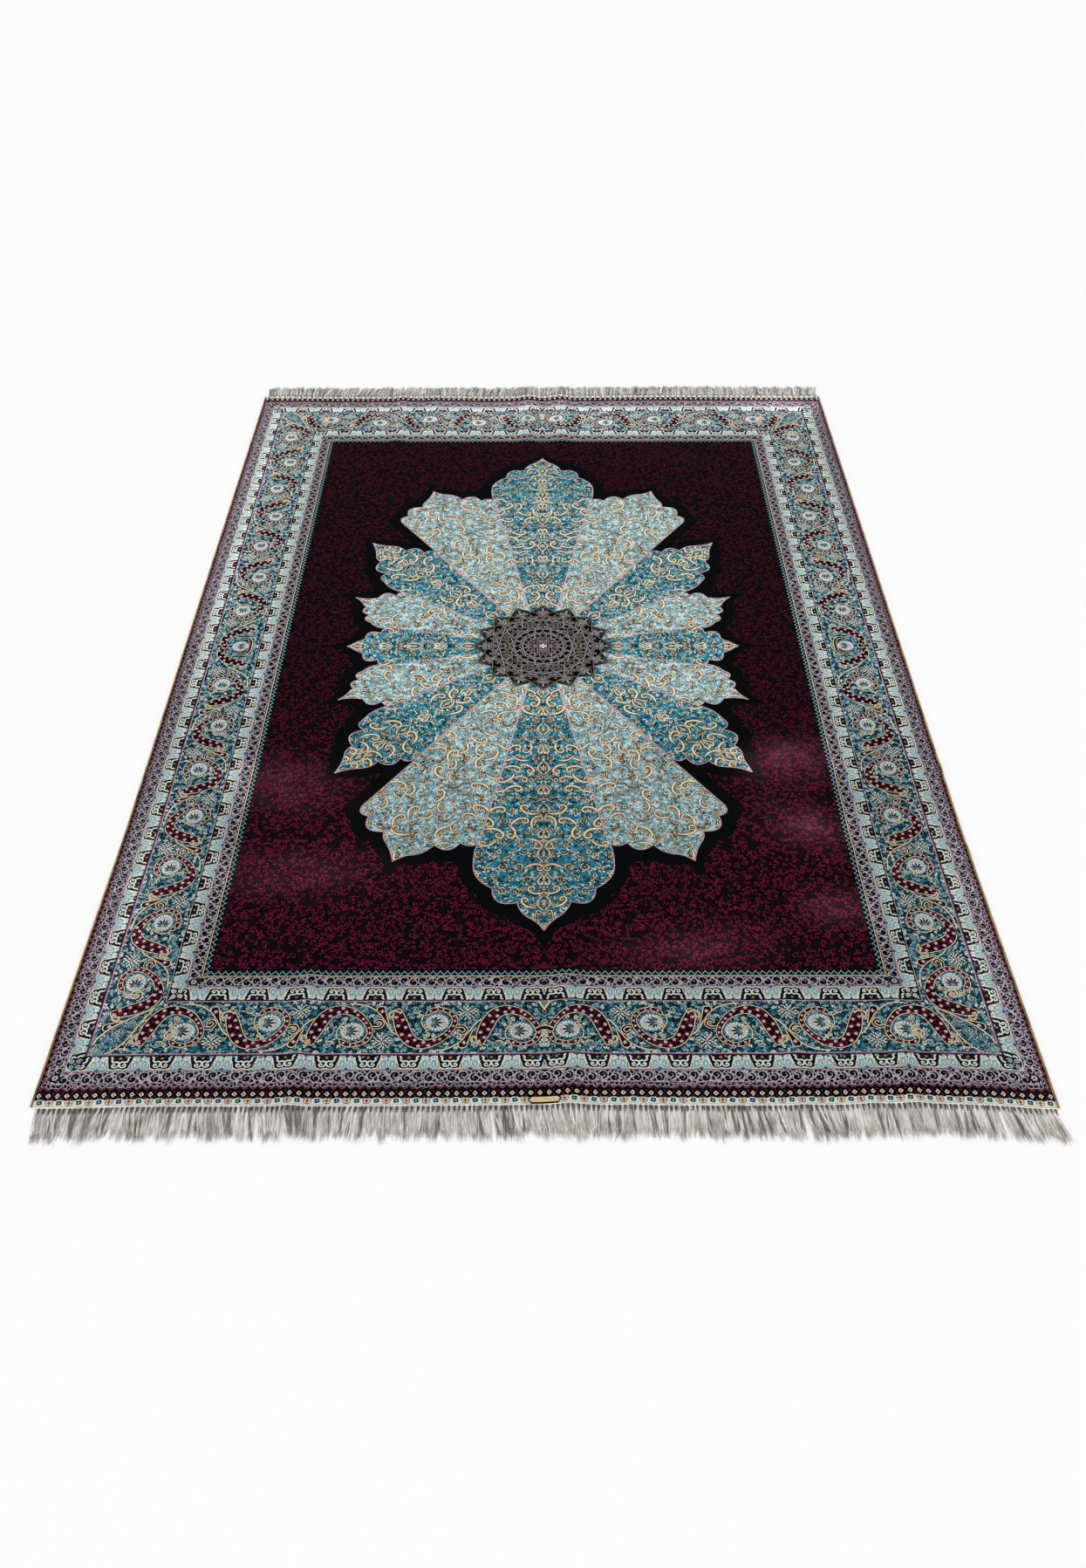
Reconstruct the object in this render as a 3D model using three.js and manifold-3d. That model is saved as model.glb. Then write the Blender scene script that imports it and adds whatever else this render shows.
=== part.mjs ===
// A hand-knotted silk rug lying on a floor, with its bound sides and its fringed ends.
// Millimetres, +Z up. The origin is on the floor under the middle of the rug.
// X runs across the rug, and Y runs along it from the near end (-Y) to the far end (+Y).
import * as THREE from 'three';
import { mergeVertices } from 'three/addons/utils/BufferGeometryUtils.js';
import Module from 'manifold-3d';

const wasm = await Module();
wasm.setup();

// Driving dimensions
const RUG_WIDTH = 1830;
const WOVEN_LENGTH = 2770;
const SHEET_THICKNESS = 4;
const SELVEDGE_WIDTH = 5;
const SELVEDGE_HEIGHT = 4.6;
const SELVEDGE_FLAT_SHARE = 0.62;
const HEADING_WIDTH = 5;
const HEADING_HEIGHT = 2.6;
const FRINGE_LENGTH = 70;
const SEAM_GAP = 0.3;

// The near end is woven a little wider than the rest
const FLARE = 0.0135;
const FLARE_REACH = 700;

// Warp locks of one end's fringe
const LOCKS_PER_END = 148;
const LOCK_WIDTH = 7;
const LOCK_HEIGHT = 2;
const LOCK_TIP_SCALE = 0.55;
const LOCK_STEPS = [0, 0.28, 0.64, 1];
const LOCK_ROOT_DEPTH = 2.5;
const LOCK_ROOT_RISE = 0.3;
const LOCK_DROP = 0.28;
const LOCK_LEAN = 16;
const LOCK_SHORTEST = 0.8;
const FULL_LOCK_EVERY = 7;

// Spacing of the sheet's flat facets, and the room that a crease keeps free of them
const FACET_ACROSS = 92;
const FACET_ALONG = 112;
const FACET_ROOM = 16;

// Soft creases that run along the rug: where, how high, how wide, and from where to where
const CREASES_ALONG = [
  { at: -455, height: 5, spread: 20, from: -1500, to: -820 },
  { at: -455, height: 4, spread: 20, from: 930, to: 1500 },
  { at: -350, height: 2.5, spread: 22, from: 1040, to: 1500 },
  { at: -45, height: 6, spread: 26, from: 1010, to: 1500 },
  { at: 45, height: 6, spread: 28, from: -1500, to: -800 },
  { at: 60, height: 6, spread: 28, from: 1010, to: 1500 },
  { at: 160, height: 2.5, spread: 20, from: -1500, to: -1290 },
  { at: 462, height: 3, spread: 20, from: -1500, to: -1040 },
  { at: 582, height: 3, spread: 20, from: -1500, to: -1290 },
  { at: 662, height: 4, spread: 22, from: -1500, to: -1060 },
];

// Soft creases that run across the rug, with the same columns
const CREASES_ACROSS = [
  { at: -738, height: 3, spread: 22, from: -330, to: 1000 },
  { at: -468, height: 3.5, spread: 20, from: 340, to: 1000 },
];
const CREASE_END_FADE = 120;
const FLAT_BELOW = 0.05;

// How the two ends stray from straight: where, how far along Y, and how wide
const NEAR_END_WAVES = [
  { at: -880, shift: -4, spread: 110 },
  { at: 40, shift: 2.5, spread: 190 },
  { at: 640, shift: 4.5, spread: 110 },
  { at: 905, shift: -9, spread: 80 },
];
const FAR_END_WAVES = [
  { at: -600, shift: -4, spread: 210 },
  { at: -160, shift: -4, spread: 80 },
  { at: 430, shift: 5, spread: 260 },
];
const END_WAVE_REACH = 260;

const HALF_WIDTH = RUG_WIDTH / 2;
const HALF_WOVEN = WOVEN_LENGTH / 2;
const SHEET_HALF_WIDTH = HALF_WIDTH - SELVEDGE_WIDTH - SEAM_GAP;
const SHEET_HALF_LENGTH = HALF_WOVEN - HEADING_WIDTH - SEAM_GAP;

const silkPile = new THREE.MeshStandardMaterial({ color: '#2b1420', roughness: 0.7, metalness: 0 });
const goldBinding = new THREE.MeshStandardMaterial({ color: '#c9963a', roughness: 0.75, metalness: 0 });
const creamWarp = new THREE.MeshStandardMaterial({ color: '#ddd8cc', roughness: 0.8, metalness: 0 });

function bell(distance, spread) {
  return Math.exp(-((distance / spread) ** 2));
}

function smoothRise(value) {
  const t = Math.min(1, Math.max(0, value));
  return t * t * (3 - 2 * t);
}

function waveShift(waves, across) {
  return waves.reduce((sum, wave) => sum + wave.shift * bell(across - wave.at, wave.spread), 0);
}

function creaseRise(crease, acrossCrease, alongCrease) {
  const begin = smoothRise((alongCrease - crease.from) / CREASE_END_FADE);
  const end = smoothRise((crease.to - alongCrease) / CREASE_END_FADE);
  return crease.height * bell(acrossCrease - crease.at, crease.spread) * begin * end;
}

// Height of the cloth's underside over the floor
function lift(across, along) {
  const lengthwise = CREASES_ALONG.reduce((sum, crease) => sum + creaseRise(crease, across, along), 0);
  const crosswise = CREASES_ACROSS.reduce((sum, crease) => sum + creaseRise(crease, along, across), 0);
  const rise = lengthwise + crosswise;
  return rise < FLAT_BELOW ? 0 : rise;
}

// Places a point of the straight, flat rug where it lies on the floor
function lay(across, along, height) {
  const flare = 1 + FLARE * Math.max(0, 1 - (along + HALF_WOVEN) / FLARE_REACH);
  const nearFade = smoothRise(1 - (along + HALF_WOVEN) / END_WAVE_REACH);
  const farFade = smoothRise(1 - (HALF_WOVEN - along) / END_WAVE_REACH);
  const shift = nearFade * waveShift(NEAR_END_WAVES, across) + farFade * waveShift(FAR_END_WAVES, across);
  return [across * flare, along + shift, height + lift(across, along)];
}

// Even stations from -half to half, with three more at each crease
function stations(half, step, creases) {
  const creaseStations = creases.flatMap(({ at, spread }) => [at - spread, at, at + spread]);
  const inside = creaseStations.filter((at) => Math.abs(at) < half - FACET_ROOM).sort((a, b) => a - b);
  const spaced = inside.filter((at, index) => index === 0 || at - inside[index - 1] > FACET_ROOM / 2);
  const count = Math.round((2 * half) / step);
  const even = Array.from({ length: count - 1 }, (_, index) => -half + ((index + 1) * 2 * half) / count);
  const free = even.filter((at) => spaced.every((other) => Math.abs(other - at) > FACET_ROOM));
  return [-half, ...spaced, ...free, half].sort((a, b) => a - b);
}

function solidGeometry(points, triangles) {
  const geometry = new THREE.BufferGeometry();
  geometry.setAttribute('position', new THREE.Float32BufferAttribute(points.flat(), 3));
  geometry.setIndex(triangles.flat());
  geometry.computeVertexNormals();
  return geometry;
}

// A sheet of even thickness over a grid of stations, closed by a rim
function sheetSolid(acrossStations, alongStations, thickness) {
  const columns = acrossStations.length;
  const rows = alongStations.length;
  const rowAt = (along, height) => acrossStations.map((across) => lay(across, along, height));
  const layer = (height) => alongStations.flatMap((along) => rowAt(along, height));
  const points = [...layer(0), ...layer(thickness)];
  const top = columns * rows;
  const triangles = [];
  const addQuad = (a, b, c, d) => triangles.push([a, b, c], [a, c, d]);
  for (let row = 0; row < rows - 1; row += 1) {
    for (let column = 0; column < columns - 1; column += 1) {
      const corner = row * columns + column;
      addQuad(top + corner, top + corner + 1, top + corner + columns + 1, top + corner + columns);
      addQuad(corner, corner + columns, corner + columns + 1, corner + 1);
    }
  }
  for (let column = 0; column < columns - 1; column += 1) {
    const far = (rows - 1) * columns + column;
    addQuad(column, column + 1, top + column + 1, top + column);
    addQuad(far + 1, far, top + far, top + far + 1);
  }
  for (let row = 0; row < rows - 1; row += 1) {
    const left = row * columns;
    const right = left + columns - 1;
    addQuad(left + columns, left, top + left, top + left + columns);
    addQuad(right, right + columns, top + right + columns, top + right);
  }
  return solidGeometry(points, triangles);
}

// A closed bar through rings of points, each ring listed anticlockwise as seen against the way it runs
function ringSolid(rings) {
  const sides = rings[0].length;
  const triangles = [];
  for (let ring = 0; ring < rings.length - 1; ring += 1) {
    for (let side = 0; side < sides; side += 1) {
      const next = (side + 1) % sides;
      const here = ring * sides;
      const ahead = here + sides;
      triangles.push([here + side, here + next, ahead + next], [here + side, ahead + next, ahead + side]);
    }
  }
  const last = (rings.length - 1) * sides;
  for (let side = 1; side < sides - 1; side += 1) {
    triangles.push([0, side + 1, side], [last, last + side, last + side + 1]);
  }
  return solidGeometry(rings.flat(), triangles);
}

// The overcast cord of one long side: six-sided, flat on the floor. It runs towards +Y.
function selvedge(side, alongStations) {
  const centre = side * (HALF_WIDTH - SELVEDGE_WIDTH / 2);
  const half = SELVEDGE_WIDTH / 2;
  const narrow = half * SELVEDGE_FLAT_SHARE;
  const middle = SELVEDGE_HEIGHT / 2;
  const section = [
    { across: -narrow, up: 0 },
    { across: -half, up: middle },
    { across: -narrow, up: SELVEDGE_HEIGHT },
    { across: narrow, up: SELVEDGE_HEIGHT },
    { across: half, up: middle },
    { across: narrow, up: 0 },
  ];
  const ringAt = (along) => section.map(({ across, up }) => lay(centre + across, along, up));
  return ringSolid(alongStations.map(ringAt));
}

// The sheet's own stations, so that both edges bend alike, carried out to the selvedges' outer edges
function headingStations(acrossStations) {
  const inner = acrossStations.slice(1, -1);
  const edge = SHEET_HALF_WIDTH;
  return [-HALF_WIDTH, -edge, ...inner, edge, HALF_WIDTH];
}

// A smooth, repeatable unevenness between -1 and 1
function unevenness(index, phase) {
  return 0.6 * Math.sin(index * 0.37 + phase) + 0.4 * Math.sin(index * 1.13 + phase * 2.3);
}

// One flat-bottomed lock of warp ends. Its root is inside the heading and its tip points away from the rug.
function lock(end, index) {
  const pitch = RUG_WIDTH / LOCKS_PER_END;
  const across = -HALF_WIDTH + (index + 0.5) * pitch;
  const root = lay(across, end * (HALF_WOVEN - LOCK_ROOT_DEPTH), LOCK_ROOT_RISE);
  const isFull = index % FULL_LOCK_EVERY === 0;
  const shortening = isFull ? 0 : (1 - LOCK_SHORTEST) * (0.5 + 0.5 * unevenness(index, end));
  const tipAlong = end * (HALF_WOVEN + FRINGE_LENGTH * (1 - shortening));
  const lean = LOCK_LEAN * unevenness(index * 0.16, 1.9 + end) * (1 - Math.abs(across / HALF_WIDTH) ** 6);
  const sectionAt = (t) => {
    const scale = 1 - (1 - LOCK_TIP_SCALE) * t;
    const half = (LOCK_WIDTH * scale) / 2;
    const x = root[0] + lean * t * t;
    const y = root[1] + (tipAlong - root[1]) * t;
    const z = root[2] * Math.max(0, 1 - t / LOCK_DROP) ** 2;
    return [[x - half, y, z], [x, y, z + LOCK_HEIGHT * scale], [x + half, y, z]];
  };
  const rings = LOCK_STEPS.map(sectionAt);
  return ringSolid(end > 0 ? rings : rings.map((ring) => ring.reverse()));
}

function toManifold(geometry) {
  const bare = geometry.clone();
  bare.deleteAttribute('normal');
  bare.deleteAttribute('uv');
  const merged = mergeVertices(bare);
  const vertProperties = new Float32Array(merged.attributes.position.array);
  const triVerts = new Uint32Array(merged.index.array);
  return new wasm.Manifold(new wasm.Mesh({ numProp: 3, vertProperties, triVerts }));
}

function toGeometry(manifold) {
  const mesh = manifold.getMesh();
  const geometry = new THREE.BufferGeometry();
  geometry.setAttribute('position', new THREE.BufferAttribute(new Float32Array(mesh.vertProperties), 3));
  geometry.setIndex(new THREE.BufferAttribute(new Uint32Array(mesh.triVerts), 1));
  geometry.computeVertexNormals();
  return geometry;
}

// The narrow woven heading of one end, with its warp locks fused to it
function fringe(end, acrossStations) {
  const inner = end * (HALF_WOVEN - HEADING_WIDTH);
  const outer = end * HALF_WOVEN;
  const alongStations = [inner, outer].sort((a, b) => a - b);
  let body = toManifold(sheetSolid(headingStations(acrossStations), alongStations, HEADING_HEIGHT));
  for (let index = 0; index < LOCKS_PER_END; index += 1) {
    body = body.add(toManifold(lock(end, index)));
  }
  return toGeometry(body);
}

function namedMesh(name, geometry, material) {
  const mesh = new THREE.Mesh(geometry, material);
  mesh.name = name;
  return mesh;
}

const acrossStations = stations(SHEET_HALF_WIDTH, FACET_ACROSS, CREASES_ALONG);
const alongStations = stations(SHEET_HALF_LENGTH, FACET_ALONG, CREASES_ACROSS);

const rug = new THREE.Group();
rug.add(namedMesh('rug_pile', sheetSolid(acrossStations, alongStations, SHEET_THICKNESS), silkPile));
rug.add(namedMesh('selvedge_left', selvedge(-1, alongStations), goldBinding));
rug.add(namedMesh('selvedge_right', selvedge(1, alongStations), goldBinding));
rug.add(namedMesh('fringe_near', fringe(-1, acrossStations), creamWarp));
rug.add(namedMesh('fringe_far', fringe(1, acrossStations), creamWarp));

export default rug;
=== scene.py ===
"""Chinese silk rug: one knotted silk sheet, bound sides and a knotted warp fringe at each end.

The pile's design is drawn knot by knot onto a loom chart, as a designer draws one before weaving. Every
motif is a formula with sizes in millimetres. A quarter is drawn and mirrored, as the real design is.
"""
import logging
import math
from dataclasses import dataclass
from enum import Enum, IntEnum

import bpy
import numpy as np
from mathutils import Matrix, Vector


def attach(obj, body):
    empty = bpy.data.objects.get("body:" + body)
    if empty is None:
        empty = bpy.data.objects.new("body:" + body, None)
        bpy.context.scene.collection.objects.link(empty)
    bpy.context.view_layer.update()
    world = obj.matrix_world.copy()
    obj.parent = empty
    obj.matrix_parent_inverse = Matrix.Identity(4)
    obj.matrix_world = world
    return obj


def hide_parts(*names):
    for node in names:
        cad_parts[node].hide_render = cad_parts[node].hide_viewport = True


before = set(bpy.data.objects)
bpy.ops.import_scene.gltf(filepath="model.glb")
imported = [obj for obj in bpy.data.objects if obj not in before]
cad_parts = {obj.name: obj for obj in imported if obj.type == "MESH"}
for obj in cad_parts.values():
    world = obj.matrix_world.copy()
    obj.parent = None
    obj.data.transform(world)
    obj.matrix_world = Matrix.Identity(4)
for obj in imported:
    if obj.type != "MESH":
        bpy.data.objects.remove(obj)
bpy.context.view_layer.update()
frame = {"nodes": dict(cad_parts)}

LOG = logging.getLogger("silk_rug")
MM = 0.001
TURN = 2.0 * math.pi

RUG_WIDTH = 1830.0
WOVEN_LENGTH = 2770.0
HALF_WIDTH = RUG_WIDTH / 2
HALF_WOVEN = WOVEN_LENGTH / 2
SHEET_THICKNESS = 4.0
SHEET_HALF_WIDTH = 909.7
SHEET_HALF_LENGTH = 1379.7

# Half the chart, and the block of knots that one face of the pile carries
HALF_COLUMNS = 910
HALF_ROWS = 1380
BLOCK_COLUMNS = 5
BLOCK_ROWS = 8
# The rows at each end that the fringe's heading takes
HEADING_ROWS = int(HALF_WOVEN) - HALF_ROWS

# Shares of the length of an arc, a leaf and a comma, and the widths there, as shares of a leaf's width and
# of a comma's length
ARC_STEPS = (0.12, 0.25, 0.38, 0.5, 0.62, 0.75, 0.88, 1.0)
LEAF_STEPS = np.array([0.0, 0.25, 0.5, 0.75, 1.0])
LEAF_SWELL = np.array([0.25, 0.8, 1.0, 0.7, 0.1])
COMMA_STEPS = np.array([0.0, 0.33, 0.66, 1.0])
COMMA_SWELL = np.array([0.12, 0.3, 0.28, 0.08])
# How far apart the rows of an even triangular net are, as a share of its step
ROW_LIFT = 0.866


class Dye(IntEnum):
    """The sixteen dyed silks of the pile, numbered as the chart holds them."""

    INK = 0
    CRIMSON = 1
    BURGUNDY = 2
    TEAL = 3
    DEEP_TEAL = 4
    SKY = 5
    ICE = 6
    CREAM = 7
    GOLD = 8
    LILAC = 9
    ROSE = 10
    NAVY = 11
    RUST = 12
    SLATE = 13
    AQUA = 14
    BLUSH = 15


DYES = float(len(Dye))
# Each silk's colour with the near end's painted sheen and shade, and then with the far end's
DYE_AND_SHEEN_HEX = {
    Dye.INK: ("#050708", "#040607"),
    Dye.CRIMSON: ("#721736", "#531024"),
    Dye.BURGUNDY: ("#1f060c", "#16040a"),
    Dye.TEAL: ("#2a6a7e", "#2f7b91"),
    Dye.DEEP_TEAL: ("#123646", "#123b4d"),
    Dye.SKY: ("#83a3a8", "#9bc0c5"),
    Dye.ICE: ("#c2c9c1", "#e2eae2"),
    Dye.CREAM: ("#dccaa6", "#f7e6c3"),
    Dye.GOLD: ("#9c6c2a", "#b57f34"),
    Dye.LILAC: ("#9d98a1", "#a19ba3"),
    Dye.ROSE: ("#84425c", "#904c66"),
    Dye.NAVY: ("#0b141b", "#0b151d"),
    Dye.RUST: ("#93321b", "#a03a20"),
    Dye.SLATE: ("#6b685c", "#7c786a"),
    Dye.AQUA: ("#47869a", "#529cb1"),
    Dye.BLUSH: ("#b9a3a5", "#d6bec0"),
}


# Drawing on the chart

@dataclass(frozen=True)
class Pose:
    """Where a motif sits on the chart: its place, its turn in radians, its size and its hand."""

    x: float
    y: float
    turn: float = 0.0
    size: float = 1.0
    flip: bool = False

    def place(self, points: object) -> np.ndarray:
        """Put a motif's own points on the chart.

        Args:
            points: rows of x and y in the motif's own millimetres.

        Returns:
            The same rows in the chart's millimetres.
        """
        own = np.array(points, float)[:, :2] * self.size
        if self.flip:
            own[:, 1] = -own[:, 1]
        cosine = math.cos(self.turn)
        sine = math.sin(self.turn)
        x = self.x + own[:, 0] * cosine - own[:, 1] * sine
        y = self.y + own[:, 0] * sine + own[:, 1] * cosine
        return np.column_stack([x, y])

    def heading(self, lean: float) -> float:
        """Return a direction in the motif's own frame as one on the chart."""
        return self.turn - lean if self.flip else self.turn + lean

    def spot(self, x: float, y: float) -> tuple[float, float]:
        """Return one of the motif's own points on the chart."""
        placed = self.place([(x, y)])[0]
        return float(placed[0]), float(placed[1])


def flowing(points: object, steps: int = 5) -> np.ndarray:
    """Draw a smooth line through points.

    Args:
        points: rows of numbers, the first two of them x and y.
        steps: how many short lengths join two points.

    Returns:
        Rows with as many numbers as the points have.
    """
    knots = np.array(points, float)
    padded = np.vstack([2 * knots[0] - knots[1], knots, 2 * knots[-1] - knots[-2]])
    t = np.linspace(0, 1, steps, endpoint=False)[:, None]
    parts = []
    for i in range(len(knots) - 1):
        a, b, c, d = padded[i:i + 4]
        line = 2 * b + (c - a) * t + (2 * a - 5 * b + 4 * c - d) * t ** 2 + (3 * b - a - 3 * c + d) * t ** 3
        parts.append(0.5 * line)
    return np.vstack(parts + [knots[-1:]])


def spiral(radius: float, turns: float, start: float = 0.0, core: float = 0.15) -> np.ndarray:
    """Draw a spiral about its own middle.

    Args:
        radius: the rim's radius, in millimetres.
        turns: how many times it goes round.
        start: the angle at the rim, in radians.
        core: the share of the radius that is left at its inner end.

    Returns:
        Rows of x and y, from the rim inwards.
    """
    t = np.linspace(0, 1, max(6, int(11 * turns)))
    reach = radius * (1 - (1 - core) * t)
    angle = start + TURN * turns * t
    return np.column_stack([reach * np.cos(angle), reach * np.sin(angle)])


def bulged(points: object) -> np.ndarray:
    """Join points by arcs.

    Args:
        points: rows of x, y and how far the arc to the next point bulges left, as a share of its chord.

    Returns:
        Rows of x and y along the arcs.
    """
    rows = [tuple(row) for row in points]
    line = [rows[0][:2]]
    for (x0, y0, bulge), (x1, y1, _) in zip(rows, rows[1:]):
        for t in ARC_STEPS:
            out = 4 * bulge * t * (1 - t)
            line.append((x0 + (x1 - x0) * t - (y1 - y0) * out, y0 + (y1 - y0) * t + (x1 - x0) * out))
    return np.array(line)


def scattered(rng: np.random.Generator, low: tuple[float, float], high: tuple[float, float], step: float,
              stray: float = 0.35) -> list[tuple[float, float]]:
    """Lay out places on an uneven triangular net.

    Args:
        rng: the seeded randomness.
        low: the lower corner of the stretch, in millimetres.
        high: its upper corner.
        step: how far apart the places are.
        stray: how far each may stray, as a share of the step.

    Returns:
        The places, row by row.
    """
    places = []
    lift = ROW_LIFT * step
    for row in range(int((high[1] - low[1]) / lift) + 2):
        shift = 0.5 * step * (row % 2)
        for column in range(int((high[0] - low[0]) / step) + 2):
            x = low[0] + column * step + shift + rng.uniform(-stray, stray) * step
            y = low[1] + row * lift + rng.uniform(-stray, stray) * step
            places.append((x, y))
    return places


class Chart:
    """A stretch of the rug in knots of one millimetre, painted motif by motif."""

    def __init__(self, width: float, height: float, ground: Dye) -> None:
        """Lay out an even ground.

        Args:
            width: how wide the stretch is, in millimetres.
            height: how high it is.
            ground: its silk.
        """
        self.columns = int(round(width))
        self.rows = int(round(height))
        self.knots = np.full((self.rows, self.columns), int(ground), np.uint8)
        self.x = np.arange(self.columns) + 0.5
        self.y = np.arange(self.rows) + 0.5

    def window(self, low: np.ndarray, high: np.ndarray) -> tuple | None:
        """Find the knots in a box.

        Args:
            low: the box's lower corner.
            high: its upper corner.

        Returns:
            Slices of rows and columns with their coordinates, or None outside the chart.
        """
        left = max(0, int(low[0]))
        right = min(self.columns, int(high[0]) + 1)
        bottom = max(0, int(low[1]))
        top = min(self.rows, int(high[1]) + 1)
        if left >= right or bottom >= top:
            return None
        return slice(bottom, top), slice(left, right), self.x[None, left:right], self.y[bottom:top, None]

    def stroke(self, path: object, width: object, dye: Dye, rim: float = 0.0,
               rim_dye: Dye = Dye.NAVY) -> None:
        """Paint a line.

        Args:
            path: rows of x and y.
            width: its width, or one width for each row.
            dye: its silk.
            rim: the width of the outline on each side, which is painted first.
            rim_dye: the outline's silk.
        """
        points = np.asarray(path, float)
        halves = np.broadcast_to(np.asarray(width, float), (len(points),)) / 2
        layers = [(halves, dye)]
        if rim > 0:
            layers.insert(0, (halves + rim, rim_dye))
        for reach, silk in layers:
            for a, b, near, far in zip(points, points[1:], reach, reach[1:]):
                room = max(near, far) + 1
                spot = self.window(np.minimum(a, b) - room, np.maximum(a, b) + room)
                if spot is None:
                    continue
                rows, columns, x, y = spot
                d = b - a
                span = max(float(d @ d), 1e-9)
                t = np.clip(((x - a[0]) * d[0] + (y - a[1]) * d[1]) / span, 0, 1)
                away = (x - a[0] - t * d[0]) ** 2 + (y - a[1] - t * d[1]) ** 2
                self.knots[rows, columns][away <= (near + (far - near) * t) ** 2] = int(silk)

    def ellipse(self, x: float, y: float, rx: float, ry: float, dye: Dye, turn: float = 0.0) -> None:
        """Paint an ellipse.

        Args:
            x: its middle across.
            y: its middle along.
            rx: its first half size.
            ry: its second half size.
            dye: its silk.
            turn: its turn, in radians.
        """
        reach = max(rx, ry) + 1
        spot = self.window(np.array((x - reach, y - reach)), np.array((x + reach, y + reach)))
        if spot is None:
            return
        rows, columns, gx, gy = spot
        u = (gx - x) * math.cos(turn) + (gy - y) * math.sin(turn)
        v = (gy - y) * math.cos(turn) - (gx - x) * math.sin(turn)
        self.knots[rows, columns][(u / rx) ** 2 + (v / ry) ** 2 <= 1] = int(dye)

    def leaf(self, x: float, y: float, length: float, width: float, turn: float, dye: Dye,
             rim: float = 0.0, rim_dye: Dye = Dye.NAVY) -> None:
        """Paint a pointed leaf.

        Args:
            x: its stem end across.
            y: its stem end along.
            length: its length.
            width: its greatest width.
            turn: the way it points, in radians.
            dye: its silk.
            rim: the width of its outline.
            rim_dye: the outline's silk.
        """
        t = LEAF_STEPS
        path = np.column_stack([x + t * length * math.cos(turn), y + t * length * math.sin(turn)])
        self.stroke(path, width * LEAF_SWELL, dye, rim, rim_dye)

    def comma(self, x: float, y: float, turn: float, size: float, dye: Dye, bend: float = 1.0,
              rim: float = 0.0, rim_dye: Dye = Dye.NAVY) -> None:
        """Paint a small bent leaf.

        Args:
            x: its stem end across.
            y: its stem end along.
            turn: the way it points, in radians.
            size: its length.
            dye: its silk.
            bend: the side it bends to, 1 or -1.
            rim: the width of its outline.
            rim_dye: the outline's silk.
        """
        t = COMMA_STEPS
        path = np.column_stack([t, bend * 0.35 * np.sin(t * 2.8)]) * size
        self.stroke(Pose(x, y, turn).place(path), size * COMMA_SWELL, dye, rim, rim_dye)

    def strew(self, rng: np.random.Generator, places: list, silks: tuple,
              sizes: tuple[float, float]) -> None:
        """Strew bent leaves that lie every way.

        Args:
            rng: the seeded randomness.
            places: their stem ends.
            silks: the silks that they are drawn from.
            sizes: their least and greatest length.
        """
        for x, y in places:
            silk = silks[int(rng.integers(len(silks)))]
            self.comma(x, y, rng.uniform(0, TURN), rng.uniform(*sizes), silk, rng.choice((-1, 1)))

    def flower(self, x: float, y: float, radius: float, petals: int, dye: Dye, heart: Dye,
               rim_dye: Dye | None = None, turn: float = 0.0) -> None:
        """Paint a small round flower.

        Args:
            x: its middle across.
            y: its middle along.
            radius: its radius.
            petals: how many petals it has.
            dye: the petals' silk.
            heart: the middle's silk.
            rim_dye: the outline's silk, or None for no outline.
            turn: its turn, in radians.
        """
        places = [turn + TURN * k / petals for k in range(petals)]
        for grow, silk in ((0.8, rim_dye), (0, dye)):
            if silk is None:
                continue
            for angle in places:
                px = x + 0.62 * radius * math.cos(angle)
                py = y + 0.62 * radius * math.sin(angle)
                self.ellipse(px, py, 0.42 * radius + grow, 0.34 * radius + grow, silk, angle)
        self.ellipse(x, y, 0.32 * radius, 0.32 * radius, heart)

    def inside(self, outline: object) -> np.ndarray:
        """Find the knots inside a closed outline.

        Args:
            outline: rows of x and y.

        Returns:
            A mask as large as the chart.
        """
        points = np.asarray(outline, float)
        mask = np.zeros(self.knots.shape, bool)
        spot = self.window(points.min(0) - 1, points.max(0) + 1)
        if spot is None:
            return mask
        rows, columns, x, y = spot
        local = np.zeros((y.shape[0], x.shape[1]), bool)
        for (ax, ay), (bx, by) in zip(points, np.roll(points, -1, axis=0)):
            if ay != by:
                local ^= ((ay > y) != (by > y)) & (x < ax + (y - ay) * (bx - ax) / (by - ay))
        mask[rows, columns] = local
        return mask

    def polygon(self, outline: object, dye: Dye) -> None:
        """Paint the inside of a closed outline."""
        self.knots[self.inside(outline)] = int(dye)


# The borders: each band's depth from the rug's edge inwards, as on a short side

WAVE_BAND = (0.0, 13.0)
VINE_BAND = (14.5, 41.0)
GUARD_BAND = (43.0, 75.0)
MAIN_BAND = (80.0, 202.0)
INNER_GUARD_BAND = (206.0, 238.0)
INNER_VINE_BAND = (240.0, 263.0)
TEETH_BAND = (266.0, 280.0)
BORDER_DEPTH = 280.0
END_ROWS_DEPTH = 37.0
BAND_LINES = (
    (13.0, 14.5, Dye.ROSE),
    (41.0, 43.0, Dye.ROSE),
    (75.0, 77.0, Dye.NAVY),
    (77.0, 79.0, Dye.ROSE),
    (79.0, 80.0, Dye.BLUSH),
    (202.0, 203.0, Dye.BLUSH),
    (203.0, 204.0, Dye.ROSE),
    (204.0, 206.0, Dye.NAVY),
    (238.0, 240.0, Dye.ROSE),
    (263.0, 264.0, Dye.NAVY),
    (264.0, 265.0, Dye.GOLD),
    (265.0, 266.0, Dye.CREAM),
)
SIDE_STEPS = (5.0, 17.0, 18.5, 39.0, 41.0, 70.0, 75.0, 191.0, 194.0, 222.0, 224.0, 246.0, 249.0, 262.0)
BAND_STEPS = (0.0, 13.0, 14.5, 41.0, 43.0, 75.0, 80.0, 202.0, 206.0, 238.0, 240.0, 263.0, 266.0, 280.0)


class Side(Enum):
    """Which side of the rug a border runs along."""

    SHORT = "short"
    LONG = "long"


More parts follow.
